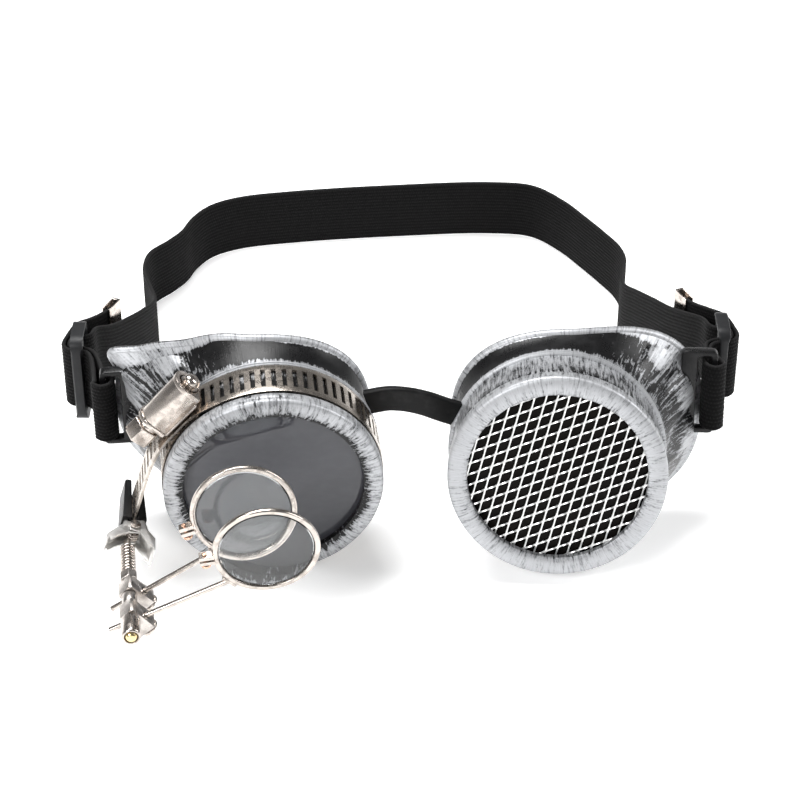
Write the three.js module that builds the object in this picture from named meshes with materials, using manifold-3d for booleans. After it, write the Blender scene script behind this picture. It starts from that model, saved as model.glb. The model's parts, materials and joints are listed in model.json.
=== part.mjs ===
// Costume welding goggles: two screw-ring eyecups, a rubber bridge, an elastic head strap,
// and a pair of swinging loupe lenses clipped to a worm-drive clamp on the left cup.
import * as THREE from 'three';
import { mergeGeometries, mergeVertices } from 'three/addons/utils/BufferGeometryUtils.js';
import Module from 'manifold-3d';

const wasm = await Module();
wasm.setup();

// ---------------------------------------------------------------- driving dimensions (mm)
const GAP = 0.3;                 // clearance between neighbouring pieces

const CAP_R = 30;                // screw ring, outer radius
const OPENING_R = 24.6;          // clear opening in the ring
const CAP_LEN = 4.4;             // ring length along the cup axis
const LENS_R = 27.2;
const COLLAR_R = 29.2;           // fixed collar behind the ring
const COLLAR_FRONT = 4.7;
const COLLAR_BACK = 16.4;
const FLANGE_R = 30.3;
const FLANGE_BACK = 18.2;
const WALL = 1.9;                // eyecup wall thickness
const FACE_DEPTH = 25.5;          // face edge behind the ring at the brow
const TEMPLE_SWEEP = 13.5;         // how much further back the temple corner lies
const BEAD_R = 1.3;              // bead on the face edge

const CUPS = {
  left: { side: -1, at: [-34.1, -12.5, 30.0], yaw: 6, pitch: -2.8, slotRise: 5 },
  right: { side: 1, at: [42.7, -10.9, 32.6], yaw: -3, pitch: 10, slotRise: 11.5 },
};

const GRILLE_PITCH = 3.7;        // strand spacing of the expanded grille
const GRILLE_STRAND = 0.55;
const GRILLE_ANGLES = [23.5, 77];

const BAND_R = 29.95;            // clamp band centre line
const BAND_T = 0.7;
const BAND_W = 11;
const BAND_MID = 10.6;           // band centre along the cup axis
const BAND_TOP = 138;            // housing position round the cup, degrees
const WORM_R = 35.6;             // worm axis, from the cup axis
const SLOT_PITCH = 2.85;

const SHAFT_Z = 16.8;            // height of the clip and the loupe shaft above the table
const CLIP = { at: [-73.1, -15.2, SHAFT_Z], yaw: 6, roll: 17.1 };
const SHAFT = { at: [-74.65, -15.2, SHAFT_Z], yaw: 6.84 };
const SHAFT_R = 1.0;
const BLOCK_T = 5.0;             // clamp blocks, along the shaft
const ARM_TAIL = 8.5;            // arm wire left beyond the middle of its block
const WIRE_R = 0.75;             // loupe arm wire

const LOUPES = {
  rear: { at: [-40.8, -35.3, 40.2], pitch: 4, along: 23.6, slope: -46, lug: 196, foot: 237 },
  front: { at: [-34.5, -46.0, 36.1], pitch: -5, along: 33.2, slope: -50, lug: 186, foot: 226 },
};
const RIM_R = 13.3;              // loupe rim wire centre line
const RIM_WIRE = 0.85;

const STRAP_W = 20;
const STRAP_T = 1.2;
const LUG = { left: 42.2, right: 40.6, w: 35.2 };    // middle of the strap slot on the temple
const SLIDER = { x: 92.5, y: 44.5, length: 14, height: 28, thick: 3.2 };
const SLIDER_Z = { left: 30.5, right: 33.6 };
const TAILS = {                  // free tails from their crimps to the sliders, one side's x
  left: [[86.3, 72.0, 14.6], [88.7, 66.4, 16.1], [91.3, 60.4, 18.2], [94.1, 55.2, 20.1]],
  right: [[84.9, 73.4, 17.2], [87.4, 67.6, 18.9], [90.6, 61.2, 21.3], [94.1, 55.2, 23.2]],
};

// ---------------------------------------------------------------- finishes
const finish = (colour, roughness, metalness) => ({ colour, roughness, metalness });
const BRUSHED = finish(0xb9bcc0, 0.45, 0.6);
const BLACK_PLASTIC = finish(0x1c1c1e, 0.5, 0.0);
const RUBBER = finish(0x161616, 0.7, 0.0);
const WEBBING = finish(0x101012, 0.9, 0.0);
const SMOKED = finish(0x4b4c50, 0.15, 0.0);
const CLEAR = finish(0xcfd8dc, 0.05, 0.0);
const NICKEL = finish(0xd6cdc2, 0.22, 1.0);
const STEEL = finish(0x8d8a86, 0.35, 1.0);
const BRASS = finish(0xd8bd84, 0.3, 1.0);

const object = new THREE.Group();

function addMesh(parent, name, geometry, look) {
  const material = new THREE.MeshStandardMaterial({
    color: look.colour,
    roughness: look.roughness,
    metalness: look.metalness,
  });
  const mesh = new THREE.Mesh(geometry, material);
  mesh.name = name;
  parent.add(mesh);
  return mesh;
}

// ---------------------------------------------------------------- general shape helpers
const rad = (degrees) => degrees * Math.PI / 180;
const mix = (a, b, t) => a + (b - a) * t;
const smooth = (t) => {
  const c = Math.min(1, Math.max(0, t));
  return c * c * (3 - 2 * c);
};

function fromGrid(points, triangles) {
  const geometry = new THREE.BufferGeometry();
  geometry.setAttribute('position', new THREE.Float32BufferAttribute(points.flat(), 3));
  geometry.setIndex(triangles);
  return outward(geometry);
}

// Signed volume decides whether the faces look out; a body wound inside out is turned over.
function outward(geometry) {
  const p = geometry.getAttribute('position');
  const index = geometry.getIndex().array;
  const a = new THREE.Vector3();
  const b = new THREE.Vector3();
  const c = new THREE.Vector3();
  let volume = 0;
  for (let i = 0; i < index.length; i += 3) {
    a.fromBufferAttribute(p, index[i]);
    b.fromBufferAttribute(p, index[i + 1]);
    c.fromBufferAttribute(p, index[i + 2]);
    volume += a.dot(b.cross(c));
  }
  if (volume < 0) {
    for (let i = 0; i < index.length; i += 3) {
      const keep = index[i];
      index[i] = index[i + 1];
      index[i + 1] = keep;
    }
  }
  return geometry;
}

// Loops of equal length, joined one to the next. Either the last joins the first, or both ends
// are closed by a flat fan.
function loft(loops, closed) {
  const n = loops[0].length;
  const points = loops.flat();
  const triangles = [];
  const rows = closed ? loops.length : loops.length - 1;
  for (let r = 0; r < rows; r += 1) {
    const next = (r + 1) % loops.length;
    for (let k = 0; k < n; k += 1) {
      const l = (k + 1) % n;
      triangles.push(r * n + k, next * n + k, next * n + l);
      triangles.push(r * n + k, next * n + l, r * n + l);
    }
  }
  if (!closed) {
    const last = (loops.length - 1) * n;
    for (let k = 1; k < n - 1; k += 1) {
      triangles.push(0, k, k + 1);
      triangles.push(last, last + k + 1, last + k);
    }
  }
  return fromGrid(points, triangles);
}

function turned(profile, segments) {
  const closed = [...profile, profile[0]];
  const onAxis = profile[0][0] === 0;
  const points = (onAxis ? profile : closed).map(([r, y]) => new THREE.Vector2(r, y));
  return tidy(new THREE.LatheGeometry(points, segments));
}

// Position-only, welded and facing out, which every closed piece here should be.
function tidy(geometry) {
  const bare = geometry.index ? geometry.toNonIndexed() : geometry.clone();
  bare.deleteAttribute('normal');
  bare.deleteAttribute('uv');
  const welded = mergeVertices(bare, 1e-4);
  const index = Array.from(welded.getIndex().array);
  const kept = [];
  for (let i = 0; i < index.length; i += 3) {
    const [a, b, c] = [index[i], index[i + 1], index[i + 2]];
    if (a !== b && b !== c && c !== a) {
      kept.push(a, b, c);
    }
  }
  welded.setIndex(kept);
  return outward(welded);
}

function toSolid(geometry) {
  const g = tidy(geometry);
  return new wasm.Manifold(new wasm.Mesh({
    numProp: 3,
    vertProperties: new Float32Array(g.getAttribute('position').array),
    triVerts: new Uint32Array(g.getIndex().array),
  }));
}

function toGeometry(solid) {
  const mesh = solid.getMesh();
  const geometry = new THREE.BufferGeometry();
  const values = [];
  for (let i = 0; i < mesh.vertProperties.length; i += mesh.numProp) {
    values.push(mesh.vertProperties[i], mesh.vertProperties[i + 1], mesh.vertProperties[i + 2]);
  }
  geometry.setAttribute('position', new THREE.Float32BufferAttribute(values, 3));
  geometry.setIndex(Array.from(mesh.triVerts));
  return tidy(geometry);
}

function cut(body, cutters) {
  let solid = toSolid(body);
  for (const cutter of cutters) {
    solid = solid.subtract(toSolid(cutter));
  }
  return toGeometry(solid);
}

function join(bodies) {
  let solid = toSolid(bodies[0]);
  for (const body of bodies.slice(1)) {
    solid = solid.add(toSolid(body));
  }
  return toGeometry(solid);
}

// A round bar between two points.
function bar(from, to, radius, sides = 16) {
  const a = new THREE.Vector3(...from);
  const b = new THREE.Vector3(...to);
  const geometry = new THREE.CylinderGeometry(radius, radius, a.distanceTo(b), sides);
  const turn = new THREE.Quaternion().setFromUnitVectors(
    new THREE.Vector3(0, 1, 0),
    b.clone().sub(a).normalize(),
  );
  geometry.applyQuaternion(turn);
  geometry.translate((a.x + b.x) / 2, (a.y + b.y) / 2, (a.z + b.z) / 2);
  return geometry;
}

// A round wire along a smooth curve.
function wire(points, radius, steps, sides = 8) {
  const curve = new THREE.CatmullRomCurve3(points.map((p) => new THREE.Vector3(...p)));
  const section = new THREE.Shape();
  for (let k = 0; k < sides; k += 1) {
    const angle = 2 * Math.PI * k / sides;
    const x = radius * Math.cos(angle);
    const y = radius * Math.sin(angle);
    if (k === 0) {
      section.moveTo(x, y);
    } else {
      section.lineTo(x, y);
    }
  }
  return tidy(new THREE.ExtrudeGeometry(section, { steps, extrudePath: curve, bevelEnabled: false }));
}

// A flat plate in XY, centred in Z. The outline is taken anticlockwise whichever way it is given.
function plate(outline, thickness, holes = []) {
  const corners = outline.map(([x, y]) => new THREE.Vector2(x, y));
  if (THREE.ShapeUtils.isClockWise(corners)) {
    corners.reverse();
  }
  const shape = new THREE.Shape(corners);
  const geometry = new THREE.ExtrudeGeometry(shape, { depth: thickness, bevelEnabled: false });
  geometry.translate(0, 0, -thickness / 2);
  if (holes.length === 0) {
    return geometry;
  }
  return cut(geometry, [mergeGeometries(holes.map((hole) => plate(hole, thickness + 2)))]);
}

function circlePoints(radius, count, x = 0, y = 0) {
  return Array.from({ length: count }, (_, k) => [
    x + radius * Math.cos(2 * Math.PI * k / count),
    y + radius * Math.sin(2 * Math.PI * k / count),
  ]);
}

function placedGroup(at, yaw, pitch) {
  const group = new THREE.Group();
  group.position.set(...at);
  group.rotation.order = 'ZXY';
  group.rotation.set(rad(-pitch), 0, rad(yaw));
  object.add(group);
  return group;
}

// ---------------------------------------------------------------- eyecup
const CUP_SEGMENTS = 48;

// Reach of the face edge from its middle: a full D, drawn out to a point at the upper temple.
function faceReach(degrees, side) {
  const c = Math.abs(Math.cos(rad(degrees)));
  const s = Math.abs(Math.sin(rad(degrees)));
  const wide = side > 0 && Math.cos(rad(degrees)) > 0 ? 34 : 35;
  const high = degrees < 180 ? 27.7 : 29;
  const reach = ((c / wide) ** 2.5 + (s / high) ** 2.5) ** -0.4;
  const hump = (middle, width) => Math.exp(-(((degrees - middle) / width) ** 2));
  if (side < 0) {
    return reach + 5 * hump(24, 6) - 3.6 * hump(52, 20) - 1.2 * hump(165, 25);
  }
  return reach;
}

// The face edge, from the nose, over the brow, to the temple corner.
function faceEdge(angle, side, inset, back) {
  const reach = faceReach(((angle * 180 / Math.PI) + 360) % 360, side) - inset;
  const u = 6 + reach * Math.cos(angle);
  const v = 4 + reach * Math.sin(angle);
  const sweep = TEMPLE_SWEEP * smooth((u - 2) / 46) ** 0.8;
  return [side * u, FACE_DEPTH + sweep + back, v];
}

// Raised louvres on the temple side, one behind the other, like fish scales.
function louvre(angle, t) {
  let lift = 0;
  for (const centre of [-6, 17, 40]) {
    const across = Math.abs(angle * 180 / Math.PI - centre) / 10;
    if (across < 1) {
      lift += 1.5 * Math.sqrt(1 - across * across) * smooth((t - 0.12) / 0.5) * (t < 0.78 ? 1 : 0);
    }
  }
  return lift;
}

function wallLoop(side, t, inset, withLouvres) {
  const loop = [];
  for (let k = 0; k < CUP_SEGMENTS; k += 1) {
    let angle = 2 * Math.PI * k / CUP_SEGMENTS;
    const front = COLLAR_R + 0.6 - inset;
    const lift = withLouvres ? louvre(angle > Math.PI ? angle - 2 * Math.PI : angle, t) : 0;
    const [u, w, v] = faceEdge(angle, side, inset, 0);
    const spread = t ** 1.25;
    const scale = 1 + lift / 34;
    loop.push([
      mix(side * front * Math.cos(angle), u, spread) * scale,
      mix(FLANGE_BACK + 0.2, w, t),
      mix(front * Math.sin(angle), v, spread) * scale,
    ]);
  }
  return loop;
}

function roundLoop(side, radius, back) {
  return Array.from({ length: CUP_SEGMENTS }, (_, k) => {
    const angle = 2 * Math.PI * k / CUP_SEGMENTS;
    return [side * radius * Math.cos(angle), back, radius * Math.sin(angle)];
  });
}

// Strap slot: a small upright frame on the temple corner.
function strapLug(side, rise) {
  const outline = [[-6.5, -13], [4.1, -13], [4.1, 13], [-6.5, 13]].map(([x, y]) => [side * x, y]);
  const slot = [[-1.9, -11], [1.9, -11], [1.9, 11], [-1.9, 11]].map(([x, y]) => [side * x, y]);
  const geometry = plate(outline, 3.0, [slot]);
  geometry.rotateX(Math.PI / 2);
  geometry.translate(side * (side < 0 ? LUG.left : LUG.right), LUG.w, rise);
  return geometry;
}

function cupShell(side, rise) {
  const loops = [
    roundLoop(side, COLLAR_R, COLLAR_FRONT),
    roundLoop(side, COLLAR_R, COLLAR_BACK),
    roundLoop(side, FLANGE_R, COLLAR_BACK + 0.3),
    roundLoop(side, FLANGE_R, FLANGE_BACK),
  ];
  for (const t of [0, 0.25, 0.5, 0.77, 0.79, 1]) {
    loops.push(wallLoop(side, t, 0, true));
  }
  for (const t of [1, 0.5, 0]) {
    loops.push(wallLoop(side, t, WALL, false));
  }
  loops.push(
    roundLoop(side, 24.9, COLLAR_BACK),
    roundLoop(side, 24.9, 5.3),
    roundLoop(side, LENS_R + GAP, 5.3),
    roundLoop(side, LENS_R + GAP, COLLAR_FRONT),
  );
  return join([loft(loops, true), strapLug(side, rise)]);
}

function faceBead(side) {
  const count = CUP_SEGMENTS;
  const sides = 6;
  const loops = [];
  for (let k = 0; k < count; k += 1) {
    const angle = 2 * Math.PI * k / count;
    const loop = [];
    for (let j = 0; j < sides; j += 1) {
      const turn = 2 * Math.PI * (j + 0.5) / sides;
      const out = BEAD_R * Math.cos(turn);
      loop.push(faceEdge(angle, side, 0.9 - out, BEAD_R + GAP + BEAD_R * Math.sin(turn)));
    }
    loops.push(loop);
  }
  return loft(loops, true);
}

function screwRing() {
  return turned([
    [OPENING_R, 1.9], [OPENING_R, 0.5], [OPENING_R + 0.6, 0], [CAP_R - 1.6, 0],
    [CAP_R - 0.4, 0.7], [CAP_R, 1.9], [CAP_R, CAP_LEN],
    [LENS_R + GAP, CAP_LEN], [LENS_R + GAP, 1.9],
  ], 40);
}

function disc(radius, front, back, segments = 32) {
  const edge = Math.min(0.3, (back - front) / 3);
  return turned([
    [0, front], [radius - edge, front], [radius, front + edge],
    [radius, back - edge], [radius - edge, back], [0, back],
  ], segments);
}

// Expanded-metal grille: two families of strands, so the openings are equal diamonds.
function grille() {
  const [a, b] = GRILLE_ANGLES.map(rad);
  const p = [Math.cos(a), Math.sin(a)];
  const q = [Math.cos(b), Math.sin(b)];
  const shrink = GRILLE_STRAND / 2 / Math.sin(b - a);
  const holes = [];
  for (let i = -14; i <= 14; i += 1) {
    for (let j = -14; j <= 14; j += 1) {
      const corners = [[0, 0], [1, 0], [1, 1], [0, 1]].map(([m, n]) => {
        const s = (i + m) * GRILLE_PITCH + (m ? -shrink : shrink);
        const t = (j + n) * GRILLE_PITCH + (n ? -shrink : shrink);
        return [s * p[0] + t * q[0], s * p[1] + t * q[1]];
      });
      if (Math.max(...corners.map(([x, y]) => Math.hypot(x, y))) < LENS_R - 0.9) {
        holes.push(corners);
      }
    }
  }
  const geometry = plate(circlePoints(LENS_R, 48), 0.6, holes);
  geometry.rotateX(Math.PI / 2);
  geometry.translate(0, 2.5, 0);
  return geometry;
}

function buildCup(name, cup) {
  const group = placedGroup(cup.at, cup.yaw, cup.pitch);
  addMesh(group, `cup_shell_${name}`, cupShell(cup.side, cup.slotRise), BLACK_PLASTIC);
  addMesh(group, `face_bead_${name}`, faceBead(cup.side), BRUSHED);
  addMesh(group, `screw_ring_${name}`, screwRing(), BRUSHED);
  if (name === 'right') {
    addMesh(group, 'grille_right', grille(), NICKEL);
    addMesh(group, 'lens_right', disc(LENS_R, 3.1, 5.0), SMOKED);
  } else {
    addMesh(group, 'lens_left', disc(LENS_R, 2.2, 4.1), SMOKED);
    const washer = turned([[OPENING_R, 4.4], [LENS_R, 4.4], [LENS_R, 5.0], [OPENING_R, 5.0]], 32);
    addMesh(group, 'lens_washer_left', washer, RUBBER);
  }
  return group;
}

// ---------------------------------------------------------------- worm-drive clamp
// The band's centre line seen from the front: once round the collar, then off as a straight tail.
function bandPath() {
  const path = [];
  const start = BAND_TOP - 8;
  const end = BAND_TOP + 360 - 18;
  for (let angle = start; angle <= end; angle += 6) {
    path.push([BAND_R * Math.cos(rad(angle)), BAND_R * Math.sin(rad(angle))]);
  }
  for (const [angle, r] of [[BAND_TOP - 12, 30.35], [BAND_TOP - 6, 30.85], [BAND_TOP, 31.05]]) {
    path.push([r * Math.cos(rad(angle)), r * Math.sin(rad(angle))]);
  }
  path.push([-25.6, 17.9], [-28.7, 14.3], [-31.4, 9.6], [-33.5, 4.5], [-35.2, -1.0]);
  path.push([-37.05, -7.0], [-40.6, -18.5]);
  return path;
}

// The band's edges: the tail narrows a little where the clip holds it.
function bandLoops(path) {
  return path.map(([u, v], k) => {
    const before = path[Math.max(0, k - 1)];
    const after = path[Math.min(path.length - 1, k + 1)];
    const length = Math.hypot(after[0] - before[0], after[1] - before[1]);
    const normal = [(after[1] - before[1]) / length, -(after[0] - before[0]) / length];
    const h = BAND_T / 2;
    const w = BAND_W / 2;
    return [
      [u - normal[0] * h, BAND_MID - w, v - normal[1] * h],
      [u + normal[0] * h, BAND_MID - w, v + normal[1] * h],
      [u + normal[0] * h, BAND_MID + w, v + normal[1] * h],
      [u - normal[0] * h, BAND_MID + w, v - normal[1] * h],
    ];
  });
}

function clampBand() {
  const path = bandPath();
  const cutters = [];
  const step = SLOT_PITCH / BAND_R;
  for (let a = rad(BAND_TOP + 24); a < rad(BAND_TOP + 360 - 24); a += step) {
    const slot = new THREE.BoxGeometry(3, 7.4, 1.25);
    slot.rotateY(-a);
    slot.translate(BAND_R * Math.cos(a), BAND_MID, BAND_R * Math.sin(a));
    cutters.push(slot);
  }
  return cut(loft(bandLoops(path), false), [mergeGeometries(cutters)]);
}

// A frame whose X runs outwards, Y along the cup axis and Z round the cup, at the housing.
function atHousing(geometry) {
  geometry.rotateY(-rad(BAND_TOP));
  return geometry;
}

function clampHousing() {
  const half = 4.5;
  const outline = [[31.9, -half - 0.6], [31.9, half + 0.6]];
  for (let k = 0; k <= 12; k += 1) {
    const angle = Math.PI * k / 12;
    outline.push([35.5 + half * Math.sin(angle), half * Math.cos(angle)]);
  }
  const bore = circlePoints(3.2, 20, WORM_R, 0);
  const geometry = plate(outline, 15.5, [bore]);
  geometry.translate(0, BAND_MID, 0);
  return atHousing(geometry);
}

// The worm screw: threaded barrel in the housing, domed end, slotted hexagon head.
function wormScrew() {
  const barrel = turned([
    [0, -11.2], [1.5, -11.0], [2.3, -10.2], [2.5, -9.2], [2.9, -8.2], [2.9, 8.4],
    [3.3, 8.5], [3.3, 9.4], [0, 9.4],
  ], 16);
  const head = new THREE.CylinderGeometry(4.0, 4.0, 4.6, 6);
  head.translate(0, 11.5, 0);
  const driver = new THREE.BoxGeometry(9, 1.8, 1.1);
  driver.translate(0, 13.6, 0);
  const screw = cut(join([barrel, head]), [driver]);
  screw.rotateX(Math.PI / 2);
  screw.translate(WORM_R, BAND_MID, 0);
  return atHousing(screw);
}

function buildClamp(group) {
  addMesh(group, 'clamp_band', clampBand(), NICKEL);
  addMesh(group, 'clamp_housing', clampHousing(), NICKEL);
  addMesh(group, 'worm_screw', wormScrew(), NICKEL);
}

// ---------------------------------------------------------------- spring clip
// Clip frame: origin on the pivot, Y towards the jaw tips, X towards the nose, Z up the hinge.
const NOSE_HEIGHT = 4.2;

function jaw(side) {
  const nose = [[1.35, 19.2], [1.8, 19.2], [2.3, 10], [2.6, 3], [3.0, 1.6], [2.2, 1.6], [1.8, 3], [1.6, 10]];
  const handle = side > 0
    ? [[2.6, 3], [3.3, 1], [3.7, -1], [5.6, -4], [5.5, -9.0], [4.8, -9.0], [4.9, -4.2], [3.0, -1.2],
      [2.6, 1], [1.8, 3]]
    : [[2.6, 3], [3.3, 1], [4.7, -0.6], [7.5, -4.2], [9.0, -11.4], [8.3, -11.6], [6.8, -4.6],
      [4.2, -1.2], [2.6, 0.9], [1.8, 3]];
  const cheek = side > 0
    ? [[2.4, 2.9], [3.2, 1], [3.6, -1], [5.2, -4], [4.9, -7.5], [3.6, -6.5], [1.2, -1.8], [-1.3, -1.4],
      [-1.6, 0], [-1.3, 1.4], [0.6, 2.6]]
    : [[2.4, 2.9], [3.2, 1], [4.6, -0.6], [7.2, -4.2], [6.6, -6.5], [4.6, -4.4], [1.2, -1.8],
      [-1.3, -1.4], [-1.6, 0], [-1.3, 1.4], [0.6, 2.6]];
  const turnedOver = (outline) => outline.map(([x, y]) => [side * x, y]);
  const reach = side > 0 ? 3.0 : 2.15;
  const bodies = [plate(turnedOver(nose), NOSE_HEIGHT), plate(turnedOver(handle), 2 * reach)];
  for (const z of [-reach + 0.25, reach - 0.25]) {
    const ear = plate(turnedOver(cheek), 0.5);
    ear.translate(0, 0, z);
    bodies.push(ear);
  }
  return cut(join(bodies), [bar([0, 0, -5], [0, 0, 5], 0.8 + GAP, 16)]);
}

// A rubber boot over each jaw, hollow where the jaw slides in.
function jawBoot(side) {
  const outer = [[0.7, 20.6], [2.2, 20.6], [2.6, 19.8], [3.1, 10], [3.4, 3.3], [0.75, 3.3]];
  const pocket = [[1.05, 19.6], [2.1, 19.6], [2.62, 10], [2.98, 2], [1.4, 2], [1.28, 10]];
  const turnedOver = (outline) => outline.map(([x, y]) => [side * x, y]);
  return cut(plate(turnedOver(outer), 6.4), [plate(turnedOver(pocket), NOSE_HEIGHT + 2 * GAP)]);
}

function helix(radius, wireRadius, from, to, turns, perTurn, sides) {
  const points = [];
  const count = turns * perTurn;
  for (let k = 0; k <= count; k += 1) {
    const angle = 2 * Math.PI * k / perTurn;
    points.push([radius * Math.cos(angle), mix(from, to, k / count), radius * Math.sin(angle)]);
  }
  return wire(points, wireRadius, count, sides);
}

function buildClip() {
  const clip = new THREE.Group();
  clip.position.set(...CLIP.at);
  clip.rotation.order = 'ZYX';
  clip.rotation.set(0, rad(CLIP.roll), rad(CLIP.yaw));
  object.add(clip);
  addMesh(clip, 'clip_jaw_fixed', jaw(1), STEEL);
  addMesh(clip, 'clip_jaw_moving', jaw(-1), STEEL);
  addMesh(clip, 'jaw_boot_fixed', jawBoot(1), RUBBER);
  addMesh(clip, 'jaw_boot_moving', jawBoot(-1), RUBBER);
  const pin = turned([[0, -3.9], [1.5, -3.9], [1.5, -3.35], [0.8, -3.3], [0.8, 3.3], [1.5, 3.35],
    [1.5, 3.9], [0, 3.9]], 16);
  pin.rotateX(Math.PI / 2);
  addMesh(clip, 'clip_pin', pin, NICKEL);
  const coil = helix(1.5, 0.25, -1.1, 1.1, 3, 8, 4);
  coil.rotateX(Math.PI / 2);
  addMesh(clip, 'clip_spring', coil, STEEL);
}

// ---------------------------------------------------------------- loupe shaft and lenses
// Shaft frame: Y points back along the shaft, so a station d millimetres forward is at -d.
function along(geometry, d) {
  geometry.translate(0, -d, 0);
  return geometry;
}

function blockAxes(slope) {
  const a = rad(slope);
  return { long: [Math.cos(a), Math.sin(a)], short: [-Math.sin(a), Math.cos(a)] };
}

function blockPoint(slope, alongLong, alongShort) {
  const { long, short } = blockAxes(slope);
  const l = alongLong - 2.0;
  const s = alongShort + 2.4;
  return [l * long[0] + s * short[0], l * long[1] + s * short[1]];
}

// A clamp block: square across the shaft hole, drilled through for the arm, tapped from its end.
function clampBlock(spec, armFrom, armTo) {
  const corners = [[0, -0.5], [0.5, 0], [8.6, 0], [8.6, -4.8], [0.5, -4.8], [0, -4.3]];
  const outline = corners.map(([l, s]) => blockPoint(spec.slope, l, s));
  const shaftHole = circlePoints(SHAFT_R + GAP, 20);
  const body = plate(outline, BLOCK_T, [shaftHole]);
  body.rotateX(Math.PI / 2);
  const armHole = bar(armFrom, armTo, WIRE_R + GAP, 14);
  const [x0, z0] = blockPoint(spec.slope, 9.2, -2.4);
  const [x1, z1] = blockPoint(spec.slope, 5.6, -2.4);
  const screwHole = bar([x0, 0, z0], [x1, 0, z1], 1.0 + GAP, 14);
  return cut(body, [armHole, screwHole]);
}

function pinchScrew(spec) {
  const screw = turned([
    [0, 6.9], [1.0, 6.9], [1.0, 8.9], [2.3, 8.95], [2.5, 9.2], [2.5, 9.7], [2.2, 10.0], [0, 10.0],
  ], 18);
  const slot = new THREE.BoxGeometry(6, 0.7, 0.7);
  slot.translate(0, 10.0, 0);
  const body = cut(screw, [slot]);
  const { long } = blockAxes(spec.slope);
  const [x0, z0] = blockPoint(spec.slope, 0, -2.4);
  const turn = new THREE.Quaternion().setFromUnitVectors(
    new THREE.Vector3(0, 1, 0),
    new THREE.Vector3(long[0], 0, long[1]),
  );
  body.applyQuaternion(turn);
  body.translate(x0, 0, z0);
  return body;
}

// Rim, closing lugs, soldered foot and the straight arm are one piece, in the rim's own frame.
function loupeFrame(spec, armEnd) {
  const ring = new THREE.TorusGeometry(RIM_R, RIM_WIRE, 8, 40);
  ring.rotateX(Math.PI / 2);
  const foot = rad(spec.foot);
  const footAt = [(RIM_R + 0.5) * Math.cos(foot), 0, (RIM_R + 0.5) * Math.sin(foot)];
  const arm = bar(armEnd, footAt, WIRE_R, 10);
  const pad = new THREE.BoxGeometry(1.2, 1.8, 4.6);
  pad.rotateY(-foot);
  pad.translate((RIM_R + 0.9) * Math.cos(foot), 0, (RIM_R + 0.9) * Math.sin(foot));
  const bodies = [ring, arm, pad];
  for (const side of [-1, 1]) {
    const lug = new THREE.BoxGeometry(4.2, 2.4, 1.1);
    lug.translate(RIM_R + 2.2, 0, side * 0.85);
    lug.rotateY(-rad(spec.lug));
    bodies.push(lug);
  }
  const hole = bar([RIM_R + 2.7, 0, -4], [RIM_R + 2.7, 0, 4], 0.6 + GAP, 12);
  hole.rotateY(-rad(spec.lug));
  return cut(join(bodies), [hole]);
}

function lugScrew(spec) {
  const screw = turned([[0, -1.9], [0.6, -1.9], [0.6, 1.7], [1.35, 1.72], [1.35, 2.4], [1.0, 2.7],
    [0, 2.7]], 14);
  screw.rotateX(Math.PI / 2);
  screw.translate(RIM_R + 2.7, 0, 0);
  screw.rotateY(-rad(spec.lug));
  return screw;
}

function loupeLens() {
  const r = RIM_R - RIM_WIRE - GAP;
  const crown = 1.1;
  const profile = [[0, -crown - 0.4]];
  for (const k of [1, 2, 3]) {
    profile.push([r * k / 3, -0.4 - crown * (1 - (k / 3) ** 2)]);
  }
  for (const k of [3, 2, 1]) {
    profile.push([r * k / 3, 0.4 + crown * (1 - (k / 3) ** 2)]);
  }
  profile.push([0, crown + 0.4]);
  return turned(profile, 28);
}

function buildShaft() {
  const frame = placedGroup(SHAFT.at, SHAFT.yaw, 0);
  addMesh(frame, 'loupe_shaft', bar([0, -3.0, 0], [0, -40.0, 0], SHAFT_R, 16), NICKEL);
  addMesh(frame, 'shaft_spring', helix(1.5, 0.36, -17.0, -4.4, 11, 8, 5), NICKEL);
  const nut = new THREE.CylinderGeometry(2.5, 2.5, 3.1, 6);
  addMesh(frame, 'shaft_nut', cut(along(nut, 19.0), [bar([0, -15, 0], [0, -22, 0], SHAFT_R + GAP)]), STEEL);
  const spacer = turned([[SHAFT_R + GAP, -1.9], [1.9, -1.9], [2.1, -1.5], [2.1, 1.5], [1.9, 1.9],
    [SHAFT_R + GAP, 1.9]], 18);
  addMesh(frame, 'shaft_spacer', along(spacer, 28.4), STEEL);
  const barrel = turned([
    [SHAFT_R + GAP, -40.2], [1.9, -40.2], [1.9, -43.4], [2.3, -43.4], [2.6, -43.0], [2.6, -36.6],
    [2.4, -36.1], [SHAFT_R + GAP, -36.1],
  ], 20);
  addMesh(frame, 'end_barrel', barrel, STEEL);
  const button = turned([[0, -40.4], [1.55, -40.4], [1.6, -43.3], [1.1, -43.9], [0, -44.1]], 20);
  addMesh(frame, 'end_button', button, BRASS);
  frame.updateMatrixWorld(true);
  for (const name of ['rear', 'front']) {
    buildLoupe(name, LOUPES[name], frame);
  }
}

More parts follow.
